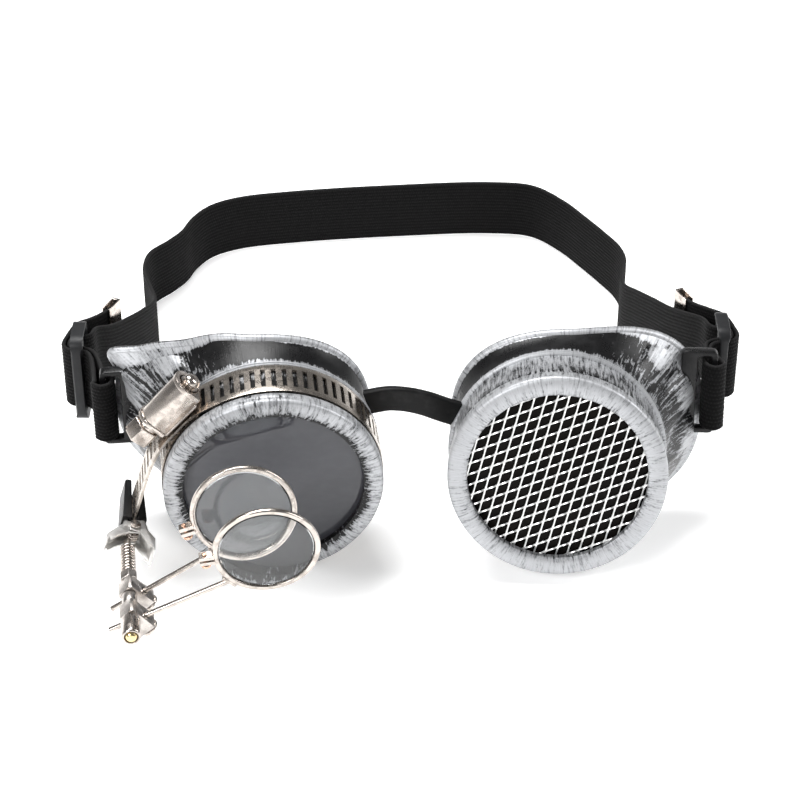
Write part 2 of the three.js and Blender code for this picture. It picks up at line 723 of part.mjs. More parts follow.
function buildLoupe(name, spec, shaft) {
  const rim = placedGroup(spec.at, SHAFT.yaw, spec.pitch);
  rim.updateMatrixWorld(true);
  const foot = rad(spec.foot);
  const footWorld = rim.localToWorld(new THREE.Vector3(
    (RIM_R + 0.5) * Math.cos(foot),
    0,
    (RIM_R + 0.5) * Math.sin(foot),
  ));
  const [cx, cz] = blockPoint(spec.slope, 4.9, -2.4);
  const centre = shaft.localToWorld(new THREE.Vector3(cx, -spec.along, cz));
  const direction = footWorld.clone().sub(centre).normalize();
  const armEnd = rim.worldToLocal(centre.clone().addScaledVector(direction, -ARM_TAIL));
  addMesh(rim, `loupe_frame_${name}`, loupeFrame(spec, armEnd.toArray()), NICKEL);
  addMesh(rim, `lug_screw_${name}`, lugScrew(spec), NICKEL);
  addMesh(rim, `loupe_lens_${name}`, loupeLens(), CLEAR);
  const before = shaft.worldToLocal(centre.clone().addScaledVector(direction, -8));
  const after = shaft.worldToLocal(centre.clone().addScaledVector(direction, 8));
  const station = (v) => [v.x, v.y + spec.along, v.z];
  const block = clampBlock(spec, station(before), station(after));
  addMesh(shaft, `clamp_block_${name}`, along(block, spec.along), STEEL);
  addMesh(shaft, `pinch_screw_${name}`, along(pinchScrew(spec), spec.along), STEEL);
}

// ---------------------------------------------------------------- straps
// Ribbon standing on edge: each station is x, y, the height of its lower edge and how far it
// leans back towards +Y.
function ribbon(stations, width, thickness, perStation) {
  const curveOf = (points) => new THREE.CatmullRomCurve3(points, false, 'centripetal');
  const lower = curveOf(stations.map(([x, y, z]) => new THREE.Vector3(x, y, z)));
  const upper = curveOf(stations.map(([x, y, z, lean = 0]) => (
    new THREE.Vector3(x, y + lean * width, z + width * Math.sqrt(1 - lean * lean))
  )));
  const steps = (stations.length - 1) * perStation;
  const loops = [];
  for (let k = 0; k <= steps; k += 1) {
    const run = lower.getTangent(k / steps).add(upper.getTangent(k / steps));
    const length = Math.hypot(run.x, run.y);
    const nx = -run.y / length * thickness / 2;
    const ny = run.x / length * thickness / 2;
    const a = lower.getPoint(k / steps);
    const b = upper.getPoint(k / steps);
    loops.push([
      [a.x - nx, a.y - ny, a.z],
      [a.x + nx, a.y + ny, a.z],
      [b.x + nx, b.y + ny, b.z],
      [b.x - nx, b.y - ny, b.z],
    ]);
  }
  return loft(loops, false);
}

// The outer bar of a strap slot, measured outwards from the middle of the goggles.
function slotBar(name) {
  const cup = CUPS[name];
  const group = placedGroup(cup.at, cup.yaw, cup.pitch);
  group.updateMatrixWorld(true);
  const at = group.localToWorld(new THREE.Vector3(cup.side * (LUG[name] + 3.0), LUG.w, cup.slotRise));
  object.remove(group);
  return [Math.abs(at.x), at.y, at.z];
}

// From the crimped tail, over the slider bar, round the slot in the cup, back through the
// slider and away to the back of the head. Measured on one side; x is distance from the middle.
function strapEnd(name) {
  const z = SLIDER_Z[name] - STRAP_W / 2;
  const [bx, slotY, bz] = slotBar(name);
  const lean = Math.sin(rad(CUPS[name].pitch));
  const b = bz - STRAP_W / 2;
  const by = slotY - lean * STRAP_W / 2;
  const s = SLIDER;
  const m = mix(z, b, 0.5);
  return [
    ...TAILS[name], [s.x + 3.1, s.y + 6, z], [s.x + 3.8, s.y + 3, z],
    [s.x + 4.3, s.y + 1, z], [s.x + 4.3, s.y - 1.4, z], [s.x + 2.7, s.y - 3.6, z],
    [s.x, s.y - 4.1, z], [s.x - 2.7, s.y - 4.8, z], [s.x - 4.2, s.y - 7.4, z],
    [bx + 2.7, by + 3.4, m, lean / 2], [bx + 2.2, by - 2.4, b, lean],
    [bx, by - 3.7, b, lean], [bx - 2.2, by - 2.5, b, lean], [bx - 3.0, by, b, lean],
    [bx - 2.2, by + 2.6, b, lean], [bx, by + 3.9, b, lean],
    [mix(s.x, bx, 0.55) - 3.4, by + 8.5, m, lean / 2], [s.x - 4.6, s.y - 4.6, z],
    [s.x - 2.4, s.y - 3.0, z], [s.x + 0.2, s.y - 2.5, z], [s.x + 2.4, s.y - 1.9, z],
    [s.x + 2.7, s.y, z], [s.x + 2.4, s.y + 1.9, z], [s.x + 0.2, s.y + 2.5, z],
    [s.x - 2.7, s.y + 4.0, z],
  ];
}

function headStrap() {
  const left = strapEnd('left').map(([x, y, z]) => [-x, y, z]);
  const right = strapEnd('right').reverse();
  const back = [
    [-88.9, 55, 18.6], [-85.4, 62.5, 14.6], [-81.6, 73, 10.4], [-78.0, 85, 6.0], [-76.2, 97, 1.8],
    [-78.4, 107, 0.15], [-81.2, 117, 0.15], [-80.2, 127, 0.15], [-74.6, 134.5, 0.15],
    [-70.8, 140.5, 0.15], [-68.0, 148.5, 0.15],
    [-63.0, 156.2, 0.15], [-54.1, 161.6, 0.15], [-33.9, 166.0, 0.15], [0, 170.0, 0.15],
    [30, 171.8, 0.15], [44.3, 169.6, 0.15], [53.9, 160.0, 0.15], [60.2, 150.0, 0.15],
    [66.2, 139.5, 0.15], [70.4, 131, 0.15], [71.8, 123.5, 0.15], [70.4, 114.5, 0.3],
    [70.2, 106, 1.6], [73.0, 96, 5.5],
    [76.9, 84, 10.2], [80.8, 72.5, 14.4], [84.6, 63, 18.6], [88.2, 55, 22.0],
  ];
  return ribbon([...left, ...back, ...right], STRAP_W, STRAP_T, 2);
}

function sliderFrame(side, z) {
  const { length, height, thick } = SLIDER;
  const l = length / 2;
  const h = height / 2;
  const outline = [[-l + 1.5, -h], [l - 1.5, -h], [l, -h + 1.5], [l, h - 1.5], [l - 1.5, h],
    [-l + 1.5, h], [-l, h - 1.5], [-l, -h + 1.5]];
  const slots = [[-5.4, -1.4], [1.4, 5.4]].map(([a, b]) => [[a, -11.2], [b, -11.2], [b, 11.2], [a, 11.2]]);
  const geometry = plate(outline, thick, slots);
  geometry.rotateX(Math.PI / 2);
  geometry.rotateZ(Math.PI / 2);
  geometry.translate(side * SLIDER.x, SLIDER.y, z);
  return geometry;
}

// A folded metal crimp over the end of the free tail.
function tailCrimp(side, tail) {
  const outline = [[-1.3, -3.4], [1.3, -3.4], [1.3, 3.2], [0.95, 3.2], [0.95, -2.6], [-0.95, -2.6],
    [-0.95, 3.2], [-1.3, 3.2]];
  const geometry = plate(outline, STRAP_W + 1.2);
  const [[x, y, z], [x1, y1]] = tail;
  const lean = Math.atan2(x1 - x, y - y1);
  geometry.rotateZ(Math.PI);
  geometry.rotateZ(side * lean);
  geometry.translate(side * x, y + 0.2, z + STRAP_W / 2 + 0.4);
  return geometry;
}

function bridge() {
  const stations = [
    [-6.7, 12, 41.9], [-5.9, 9.6, 42.0], [-3, 8.2, 42.3], [2, 8, 41.9], [7, 8.1, 40.5],
    [11.5, 9.2, 38.6], [14.2, 12.0, 37.8],
  ];
  return ribbon(stations, 7.4, 2.2, 3);
}

// ---------------------------------------------------------------- assembly
for (const [name, cup] of Object.entries(CUPS)) {
  const group = buildCup(name, cup);
  if (name === 'left') {
    buildClamp(group);
  }
}
buildClip();
buildShaft();
addMesh(object, 'bridge_strap', bridge(), RUBBER);
addMesh(object, 'head_strap', headStrap(), WEBBING);
for (const [name, side] of [['left', -1], ['right', 1]]) {
  addMesh(object, `slider_${name}`, sliderFrame(side, SLIDER_Z[name]), BLACK_PLASTIC);
  addMesh(object, `tail_crimp_${name}`, tailCrimp(side, TAILS[name]), NICKEL);
}

// The origin is on the table, under the middle of the whole object.
object.updateMatrixWorld(true);
const bounds = new THREE.Box3().setFromObject(object, true);
const middle = bounds.getCenter(new THREE.Vector3());
object.position.set(-middle.x, -middle.y, -bounds.min.z);
object.updateMatrixWorld(true);

export default object;
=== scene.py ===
"""Looks of the costume welding goggles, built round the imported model.

Every class below is one sub-assembly. Its sizes are fields, in millimetres, in a frame of its own
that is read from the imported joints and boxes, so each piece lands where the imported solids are.
"""

import json
import logging
import math
from collections.abc import Callable, Sequence
from dataclasses import dataclass, field
from enum import Enum
from typing import Any

import bmesh
import bpy
from mathutils import Matrix, Vector


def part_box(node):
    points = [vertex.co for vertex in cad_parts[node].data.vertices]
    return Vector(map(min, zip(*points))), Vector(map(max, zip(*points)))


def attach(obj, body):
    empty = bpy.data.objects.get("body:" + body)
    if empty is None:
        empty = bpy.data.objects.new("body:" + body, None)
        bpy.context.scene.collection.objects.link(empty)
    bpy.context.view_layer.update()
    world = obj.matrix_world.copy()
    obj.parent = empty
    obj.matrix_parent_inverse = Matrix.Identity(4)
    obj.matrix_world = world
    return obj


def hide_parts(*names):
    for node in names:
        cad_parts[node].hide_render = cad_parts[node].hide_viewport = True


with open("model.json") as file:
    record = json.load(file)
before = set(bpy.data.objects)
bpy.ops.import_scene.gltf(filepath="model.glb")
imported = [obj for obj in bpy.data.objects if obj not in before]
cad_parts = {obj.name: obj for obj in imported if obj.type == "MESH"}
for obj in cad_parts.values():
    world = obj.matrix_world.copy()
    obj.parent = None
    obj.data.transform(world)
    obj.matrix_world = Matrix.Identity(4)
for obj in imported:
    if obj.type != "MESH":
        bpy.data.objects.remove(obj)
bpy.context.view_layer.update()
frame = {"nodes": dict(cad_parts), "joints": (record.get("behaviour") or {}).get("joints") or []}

MM = 0.001
SMOOTH_BELOW = 38.0      # degrees: flatter edges look smooth
EASE_ABOVE = 28.0        # degrees: sharper edges are eased
WELD = 2e-6              # metres: nearer points become one
LOG = logging.getLogger("goggles")

Point = tuple[float, float, float]
Flat = tuple[float, float]
Painter = Callable[[float, float, float], tuple[float, Point]]


# ------------------------------------------------------------------ places
@dataclass(frozen=True)
class Place:
    """A frame in millimetres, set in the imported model.

    Args:
        origin: where it stands, in metres.
        x, y, z: its unit directions.
    """

    origin: Vector
    x: Vector
    y: Vector
    z: Vector

    def matrix(self) -> Matrix:
        """Returns the matrix from the frame's millimetres to the model's metres."""
        turned = Matrix((self.x, self.y, self.z)).transposed() * MM
        return Matrix.Translation(self.origin) @ turned.to_4x4()

    def to_model(self, point: Sequence[float]) -> Vector:
        """Returns a point of the frame, in the model's metres."""
        return self.matrix() @ Vector(point)

    def from_model(self, point: Sequence[float]) -> Vector:
        """Returns a model point in the frame's millimetres."""
        return self.matrix().inverted() @ Vector(point)

    def ahead(self, distance: float) -> "Place":
        """Returns the same frame moved against its y, by millimetres."""
        return Place(self.origin - self.y * distance * MM, self.x, self.y, self.z)


def joint(name: str) -> dict[str, Any]:
    """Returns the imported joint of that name."""
    return next(j for j in frame["joints"] if j["name"] == name)


def upright_place(origin: Sequence[float], forward: Sequence[float]) -> Place:
    """Makes a frame whose y points against forward and whose x is level.

    Args:
        origin: where it stands, in metres.
        forward: the direction that its front faces.

    Returns:
        The frame.
    """
    y = -Vector(forward).normalized()
    x = y.cross(Vector((0, 0, 1))).normalized()
    return Place(Vector(origin), x, y, x.cross(y).normalized())


def table_place() -> Place:
    """Returns the frame that stands on the table under the goggles' cups."""
    ring = Vector(joint("ring_unscrew_left")["pos_m"])
    origin = ring - Vector((-34.1, -12.5, 30.0)) * MM
    return Place(origin, Vector((1, 0, 0)), Vector((0, 1, 0)), Vector((0, 0, 1)))


# ------------------------------------------------------------------ skins
@dataclass
class Skin:
    """Points and faces of one closed body or more."""

    points: list[Point] = field(default_factory=list)
    faces: list[tuple[int, ...]] = field(default_factory=list)

    def add(self, other: "Skin") -> "Skin":
        """Adds another skin's bodies and returns this one."""
        start = len(self.points)
        self.points += other.points
        self.faces += [tuple(i + start for i in face) for face in other.faces]
        return self

    def moved(self, change: Callable[[Point], Point]) -> "Skin":
        """Returns the skin with each point changed."""
        return Skin([change(p) for p in self.points], list(self.faces))


def mix(a: float, b: float, t: float) -> float:
    """Returns the value a share t of the way from a to b."""
    return a + (b - a) * t


def smooth(t: float) -> float:
    """Returns t between 0 and 1, eased at both ends."""
    c = min(1.0, max(0.0, t))
    return c * c * (3 - 2 * c)


def loft(
    loops: Sequence[Sequence[Point]], joined: bool = False, ring: bool = True, caps: bool = False,
) -> Skin:
    """Joins loops of equal length.

    Args:
        loops: the loops in order.
        joined: whether the last loop joins the first.
        ring: whether each loop is closed.
        caps: whether the first and last loops are filled.

    Returns:
        The skin.
    """
    n = len(loops[0])
    skin = Skin([tuple(p) for loop in loops for p in loop])
    for r in range(len(loops) if joined else len(loops) - 1):
        after = (r + 1) % len(loops)
        for k in range(n if ring else n - 1):
            l = (k + 1) % n
            skin.faces.append((r * n + k, after * n + k, after * n + l, r * n + l))
    if caps:
        last = (len(loops) - 1) * n
        skin.faces.append(tuple(range(n)))
        skin.faces.append(tuple(last + k for k in reversed(range(n))))
    return skin


def fillet(corners: Sequence[Flat], cut: float, steps: int = 4, closed: bool = True) -> list[Flat]:
    """Rounds the corners of an outline.

    Args:
        corners: the outline.
        cut: how far along each side a rounding starts.
        steps: pieces in each rounding.
        closed: whether the last corner joins the first.

    Returns:
        The rounded outline.
    """
    out: list[Flat] = []
    n = len(corners)
    for i, corner in enumerate(corners):
        if not closed and i in (0, n - 1):
            out.append(tuple(corner))
            continue
        here = Vector(corner)
        back, on = Vector(corners[i - 1]) - here, Vector(corners[(i + 1) % n]) - here
        a = here + back.normalized() * min(cut, back.length * 0.48)
        b = here + on.normalized() * min(cut, on.length * 0.48)
        for k in range(steps + 1):
            t = k / steps
            p = a * (1 - t) ** 2 + here * 2 * t * (1 - t) + b * t * t
            out.append((p.x, p.y))
    return out


def lathe(profile: Sequence[Flat], segments: int) -> Skin:
    """Turns a profile of (radius, y) round the y axis. A profile that starts on the axis ends on it."""
    on_axis = profile[0][0] < 1e-6
    loops = []
    for k in range(segments):
        a = 2 * math.pi * k / segments
        loops.append([(r * math.cos(a), y, r * math.sin(a)) for r, y in profile])
    return loft(loops, joined=True, ring=not on_axis)


def circle(radius: float, count: int, x: float = 0.0, y: float = 0.0) -> list[Flat]:
    """Returns a round outline."""
    turn = 2 * math.pi / count
    return [(x + radius * math.cos(turn * k), y + radius * math.sin(turn * k)) for k in range(count)]


def extrude(outline: Sequence[Flat], low: float, high: float, holes: Sequence[Sequence[Flat]] = ()) -> Skin:
    """Makes a flat plate across y from an outline in x and z, with its holes.

    Args:
        outline: the edge.
        low, high: the y of its two faces.
        holes: the edges of its openings.

    Returns:
        The skin.
    """
    bm = bmesh.new()
    edges = []
    for loop in (outline, *holes):
        verts = [bm.verts.new((x, low, z)) for x, z in loop]
        edges += [bm.edges.new((a, b)) for a, b in zip(verts, verts[1:] + verts[:1])]
    bmesh.ops.triangle_fill(bm, use_beauty=True, use_dissolve=False, edges=edges)
    filled = bmesh.ops.extrude_face_region(bm, geom=list(bm.faces))
    for item in filled["geom"]:
        if isinstance(item, bmesh.types.BMVert):
            item.co.y = high
    bm.verts.index_update()
    skin = Skin([tuple(v.co) for v in bm.verts], [tuple(v.index for v in f.verts) for f in bm.faces])
    bm.free()
    return skin


def sweep(
    path: Sequence[Vector], section: Sequence[Flat], up: Vector, closed: bool = False, steady: bool = False,
) -> Skin:
    """Runs a section along a path without twisting it.

    Args:
        path: the points.
        section: the outline, its second number measured along up.
        up: the direction that the section starts upright to.
        closed: whether the path is a ring.
        steady: whether the section stays upright all the way.

    Returns:
        The skin.
    """
    loops = []
    n = len(path)
    normal = Vector(up)
    for i, p in enumerate(path):
        before = path[i - 1] if closed or i else path[0]
        after = path[(i + 1) % n] if closed or i < n - 1 else path[-1]
        run = (after - before).normalized()
        normal = Vector(up) if steady else normal
        normal = (normal - run * normal.dot(run)).normalized()
        side = run.cross(normal)
        loops.append([tuple(p + side * a + normal * b) for a, b in section])
    return loft(loops, joined=closed, caps=not closed)


def spline(points: Sequence[Sequence[float]], per_span: int) -> list[Vector]:
    """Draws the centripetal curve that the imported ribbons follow.

    Args:
        points: what it passes through.
        per_span: steps from each point to the next.

    Returns:
        Points on the curve.
    """
    p = [Vector(q) for q in points]
    p = [p[0] * 2 - p[1], *p, p[-1] * 2 - p[-2]]
    out = []
    for i in range(1, len(p) - 2):
        gaps = [max((p[i + k] - p[i + k - 1]).length ** 0.5, 1e-4) for k in (0, 1, 2)]
        d0, d1, d2 = gaps
        t1 = ((p[i] - p[i - 1]) / d0 - (p[i + 1] - p[i - 1]) / (d0 + d1) + (p[i + 1] - p[i]) / d1) * d1
        t2 = ((p[i + 1] - p[i]) / d1 - (p[i + 2] - p[i]) / (d1 + d2) + (p[i + 2] - p[i + 1]) / d2) * d1
        for k in range(per_span):
            t = k / per_span
            c2 = (p[i + 1] - p[i]) * 3 - t1 * 2 - t2
            c3 = (p[i] - p[i + 1]) * 2 + t1 + t2
            out.append(p[i] + t1 * t + c2 * t * t + c3 * t ** 3)
    return [*out, p[-2]]


def helix(radius: float, wire: float, start: float, end: float, turns: float) -> Skin:
    """Winds a round wire round the y axis.

    Args:
        radius: from the axis to the wire's middle.
        wire: the wire's radius.
        start, end: the y of its two ends.
        turns: how often it goes round.

    Returns:
        The skin.
    """
    count = int(turns * 28)
    path = []
    for k in range(count + 1):
        a = 2 * math.pi * k / 28
        path.append(Vector((radius * math.cos(a), mix(start, end, k / count), radius * math.sin(a))))
    return sweep(path, circle(wire, 10), Vector((1, 0, 0)))


def rod(
    start: Sequence[float], end: Sequence[float], radius: float, sides: int = 20, tip: float = 0.15,
) -> Skin:
    """Makes a round bar with eased ends between two points."""
    a, b = Vector(start), Vector(end)
    run = (b - a).normalized()
    up = Vector((0, 0, 1)) if abs(run.z) < 0.9 else Vector((1, 0, 0))
    normal = (up - run * up.dot(run)).normalized()
    side = run.cross(normal)
    loops = []
    for at, r in ((a, radius - tip), (a + run * tip, radius), (b - run * tip, radius), (b, radius - tip)):
        loops.append([tuple(at + side * x * r + normal * y * r) for x, y in circle(1.0, sides)])
    return loft(loops, caps=True)


# ------------------------------------------------------------------ pieces
def store_paint(mesh: bpy.types.Mesh, covers: list[float], flows: list[float]) -> None:
    """Stores each point's cover, and its place along the strokes as three numbers."""
    mesh.attributes.new("cover", "FLOAT", "POINT").data.foreach_set("value", covers)
    mesh.attributes.new("flow", "FLOAT_VECTOR", "POINT").data.foreach_set("vector", flows)


@dataclass
class Piece:
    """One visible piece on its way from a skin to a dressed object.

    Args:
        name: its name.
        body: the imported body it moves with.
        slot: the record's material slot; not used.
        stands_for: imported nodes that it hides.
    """

    name: str
    body: str
    slot: str
    stands_for: tuple[str, ...] = ()
    shown: bpy.types.Object | None = None

    def build(
        self, skin: Skin, place: Place, bevel: float = 0.0, steps: int = 2, angle: float = SMOOTH_BELOW,
    ) -> "Piece":
        """Makes the mesh.

        Args:
            skin: the shape, in the place's millimetres.
            place: the frame it is drawn in.
            bevel: width of the easing on its hard edges, in millimetres.
            steps: pieces in that easing.
            angle: edges flatter than this look smooth, in degrees.

        Returns:
            The piece.
        """
        mesh = bpy.data.meshes.new(self.name)
        mesh.from_pydata([tuple(place.to_model(p)) for p in skin.points], [], skin.faces)
        return self.finish(mesh, bevel, steps, angle)

    def trace(self, node: str, bevel: float, steps: int = 2, angle: float = SMOOTH_BELOW) -> "Piece":
        """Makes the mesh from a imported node's solid, cleaned up and with its edges eased."""
        mesh = frame["nodes"][node].data.copy()
        mesh.materials.clear()
        for layer in list(mesh.uv_layers):
            mesh.uv_layers.remove(layer)
        self.stands_for = (*self.stands_for, node)
        return self.finish(mesh, bevel, steps, angle)

    def finish(self, mesh: bpy.types.Mesh, bevel: float, steps: int, angle: float) -> "Piece":
        """Welds, turns outwards, eases and links the mesh."""
        bm = bmesh.new()
        bm.from_mesh(mesh)
        bmesh.ops.remove_doubles(bm, verts=list(bm.verts), dist=WELD)
        if bevel:
            flat = math.radians(1.0)
            bmesh.ops.dissolve_limit(bm, angle_limit=flat, verts=list(bm.verts), edges=list(bm.edges))
        bmesh.ops.recalc_face_normals(bm, faces=list(bm.faces))
        bm.to_mesh(mesh)
        bm.free()
        mesh.name = self.name
        self.shown = bpy.data.objects.new(self.name, mesh)
        bpy.context.scene.collection.objects.link(self.shown)
        if bevel:
            eased = self.shown.modifiers.new("eased", "BEVEL")
            eased.width = bevel * MM
            eased.segments = steps
            eased.limit_method = "ANGLE"
            eased.angle_limit = math.radians(EASE_ABOVE)
            self.bake()
        self.soften(angle)
        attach(self.shown, self.body)
        if self.stands_for:
            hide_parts(*self.stands_for)
        return self

    def soften(self, angle: float) -> None:
        """Shades the mesh smooth, with edges sharper than the angle kept."""
        for polygon in self.shown.data.polygons:
            polygon.use_smooth = True
        self.shown.data.set_sharp_from_angle(angle=math.radians(angle))

    def bake(self) -> None:
        """Turns the modifiers into mesh."""
        view = bpy.context.evaluated_depsgraph_get()
        made = bpy.data.meshes.new_from_object(self.shown.evaluated_get(view), depsgraph=view)
        self.shown.modifiers.clear()
        old = self.shown.data
        self.shown.data = made
        bpy.data.meshes.remove(old)
        made.name = self.name

    def hollow(self, cutters: Sequence[Skin], place: Place) -> "Piece":
        """Cuts closed skins out of the mesh."""
        for i, cutter in enumerate(cutters):
            mesh = bpy.data.meshes.new(f"cutter_{i}")
            mesh.from_pydata([tuple(place.to_model(p)) for p in cutter.points], [], cutter.faces)
            bm = bmesh.new()
            bm.from_mesh(mesh)
            bmesh.ops.recalc_face_normals(bm, faces=list(bm.faces))
            bm.to_mesh(mesh)
            bm.free()
            tool = bpy.data.objects.new(f"cutter_{i}", mesh)
            bpy.context.scene.collection.objects.link(tool)
            taken = self.shown.modifiers.new("taken", "BOOLEAN")
            taken.operation = "DIFFERENCE"
            taken.solver = "EXACT"
            taken.object = tool
            self.bake()
            bpy.data.objects.remove(tool)
            bpy.data.meshes.remove(mesh)
        self.soften(SMOOTH_BELOW)
        return self

    def brush(self, place: Place, painter: Painter) -> "Piece":
        """Stores how much paint each point took, and where it lies along the brush's strokes.

        Args:
            place: the frame that the painter works in.
            painter: gives cover and the stroke coordinates, for a point in millimetres.

        Returns:
            The piece.
        """
        mesh = self.shown.data
        back = place.matrix().inverted()
        covers: list[float] = []
        flows: list[float] = []
        for vertex in mesh.vertices:
            amount, stroke = painter(*(back @ vertex.co))
            covers.append(amount)
            flows.extend(stroke)
        store_paint(mesh, covers, flows)
        return self

    def dress(self, material: bpy.types.Material) -> "Piece":
        """Gives the piece its material and reports it."""
        self.shown.data.materials.clear()
        self.shown.data.materials.append(material)
        for polygon in self.shown.data.polygons:
            polygon.material_index = 0
        LOG.info("%s: %d faces, rides on %s", self.name, len(self.shown.data.polygons), self.body)
        return self


# ------------------------------------------------------------------ node helpers
class Tree:
    """A node tree that is written line by line."""

    def __init__(self, tree: bpy.types.NodeTree) -> None:
        """Takes the tree to write in."""
        self.tree = tree

    def put(self, kind: str, inputs: dict[str | int, Any] | None = None, **settings: Any) -> bpy.types.Node:
        """Adds a node.

        Args:
            kind: the node's type, without its ShaderNode prefix.
            inputs: values or sockets, by input name or number.
            settings: the node's own properties.

        Returns:
            The node.
        """
        node = self.tree.nodes.new(kind if kind.startswith("Node") else "ShaderNode" + kind)
        for key, value in settings.items():
            setattr(node, key, value)
        for key, value in (inputs or {}).items():
            if isinstance(value, bpy.types.NodeSocket):
                self.tree.links.new(value, node.inputs[key])
            else:
                node.inputs[key].default_value = value
        return node

    def join(self, source: bpy.types.NodeSocket, target: bpy.types.NodeSocket) -> None:
        """Wires one socket into another."""
        self.tree.links.new(source, target)

    def maths(self, operation: str, a: Any, b: Any = 0.0, clamp: bool = False) -> bpy.types.NodeSocket:
        """Adds a Math node and returns its result."""
        return self.put("Math", {0: a, 1: b}, operation=operation, use_clamp=clamp).outputs[0]

    def ramp(
        self, value: Any, low: float, high: float, to_low: float = 0.0, to_high: float = 1.0,
    ) -> bpy.types.NodeSocket:
        """Maps a value smoothly from one range to another."""
        inputs = {0: value, 1: low, 2: high, 3: to_low, 4: to_high}
        return self.put("MapRange", inputs, interpolation_type="SMOOTHSTEP").outputs[0]

    def noise(
        self, vector: Any, scale: float, detail: float = 3.0, rough: float = 0.55,
    ) -> bpy.types.NodeSocket:
        """Adds a noise and returns its value."""
        inputs = {"Vector": vector, "Scale": scale, "Detail": detail, "Roughness": rough}
        return self.put("TexNoise", inputs).outputs[0]

    def blend(self, share: Any, a: Any, b: Any, kind: str = "MIX") -> bpy.types.NodeSocket:
        """Mixes two colours."""
        node = self.put("Mix", data_type="RGBA", blend_type=kind)
        for index, value in ((0, share), (6, a), (7, b)):
            if isinstance(value, bpy.types.NodeSocket):
                self.tree.links.new(value, node.inputs[index])
            else:
                node.inputs[index].default_value = value
        return node.outputs[2]

    def stretch(self, vector: Any, by: Any) -> bpy.types.NodeSocket:
        """Scales a vector by another."""
        return self.put("VectorMath", {0: vector, 1: by}, operation="MULTIPLY").outputs[0]


@dataclass(frozen=True)
class GroupPlan:
    """The sockets of a shared node group.

    Args:
        name: the group's name.
        takes: its inputs, by name, with the socket type and the usual value.
        gives: its outputs, by name, with the socket type.
    """

    name: str
    takes: tuple[tuple[str, str, Any], ...]
    gives: tuple[tuple[str, str], ...]

    def make(self) -> tuple[Tree, bpy.types.Node, bpy.types.Node]:
        """Makes the empty group and returns its tree with its two end nodes."""
        group = bpy.data.node_groups.new(self.name, "ShaderNodeTree")
        for name, kind, usual in self.takes:
            socket = group.interface.new_socket(name, in_out="INPUT", socket_type="NodeSocket" + kind)
            if usual is not None:
                socket.default_value = usual
        for name, kind in self.gives:
            group.interface.new_socket(name, in_out="OUTPUT", socket_type="NodeSocket" + kind)
        tree = Tree(group)
        return tree, tree.put("NodeGroupInput"), tree.put("NodeGroupOutput")


def shared(name: str) -> Callable[[Callable[[], bpy.types.NodeTree]], Callable[[], bpy.types.NodeTree]]:
    """Returns a decorator that builds the group of that name once."""

    def wrap(make: Callable[[], bpy.types.NodeTree]) -> Callable[[], bpy.types.NodeTree]:
        """Wraps the maker."""

        def once() -> bpy.types.NodeTree:
            """Returns the group, made at the first call."""
            return bpy.data.node_groups.get(name) or make()

        return once

    return wrap


@shared("dry_brush")
def dry_brush() -> bpy.types.NodeTree:
    """Silver dragged over black by a nearly dry brush: streaks along the strokes, flecks missed."""
    plan = GroupPlan(
        "dry_brush",
        (("Flow", "Vector", None), ("Cover", "Float", 0.8), ("Stroke Width", "Float", 0.5),
         ("Stroke Length", "Float", 3.0), ("Seed", "Float", 0.0)),
        (("Mask", "Float"), ("Tone", "Float"), ("Height", "Float")),
    )
    tree, start, end = plan.make()
    across = tree.maths("DIVIDE", 1.0, start.outputs["Stroke Width"])
    lengthways = tree.maths("DIVIDE", 1.0, start.outputs["Stroke Length"])
    scale = tree.put("CombineXYZ", {0: across, 1: across, 2: lengthways}).outputs[0]
    shifted = tree.put("VectorMath", {0: start.outputs["Flow"], 1: start.outputs["Seed"]}, operation="ADD")
    laid = tree.stretch(shifted.outputs[0], scale)
    bristles = tree.noise(laid, 1.0, 4.0, 0.62)
    patches = tree.noise(shifted.outputs[0], 0.11, 2.0)
    flecks = tree.noise(shifted.outputs[0], 1.7, 3.0, 0.6)
    sum_a = tree.maths("ADD", tree.maths("MULTIPLY", bristles, 0.62), tree.maths("MULTIPLY", flecks, 0.2))
    total = tree.maths("ADD", sum_a, tree.maths("MULTIPLY", patches, 0.18))
    edge = tree.ramp(start.outputs["Cover"], 0.0, 1.0, 0.7, 0.3)
    over = tree.maths("SUBTRACT", total, edge)
    mask = tree.ramp(over, -0.008, 0.016)
    thick = tree.ramp(over, 0.0, 0.16)
    fine = tree.noise(tree.stretch(laid, (2.4, 2.4, 0.6)), 1.0, 3.0)
    tone = tree.maths("ADD", tree.maths("MULTIPLY", thick, 0.62), tree.maths("MULTIPLY", fine, 0.5), clamp=True)
    height = tree.maths("ADD", tree.maths("MULTIPLY", mask, 0.5), tree.maths("MULTIPLY", fine, 0.5))
    for name, value in (("Mask", mask), ("Tone", tone), ("Height", height)):
        tree.join(value, end.inputs[name])
    return tree.tree


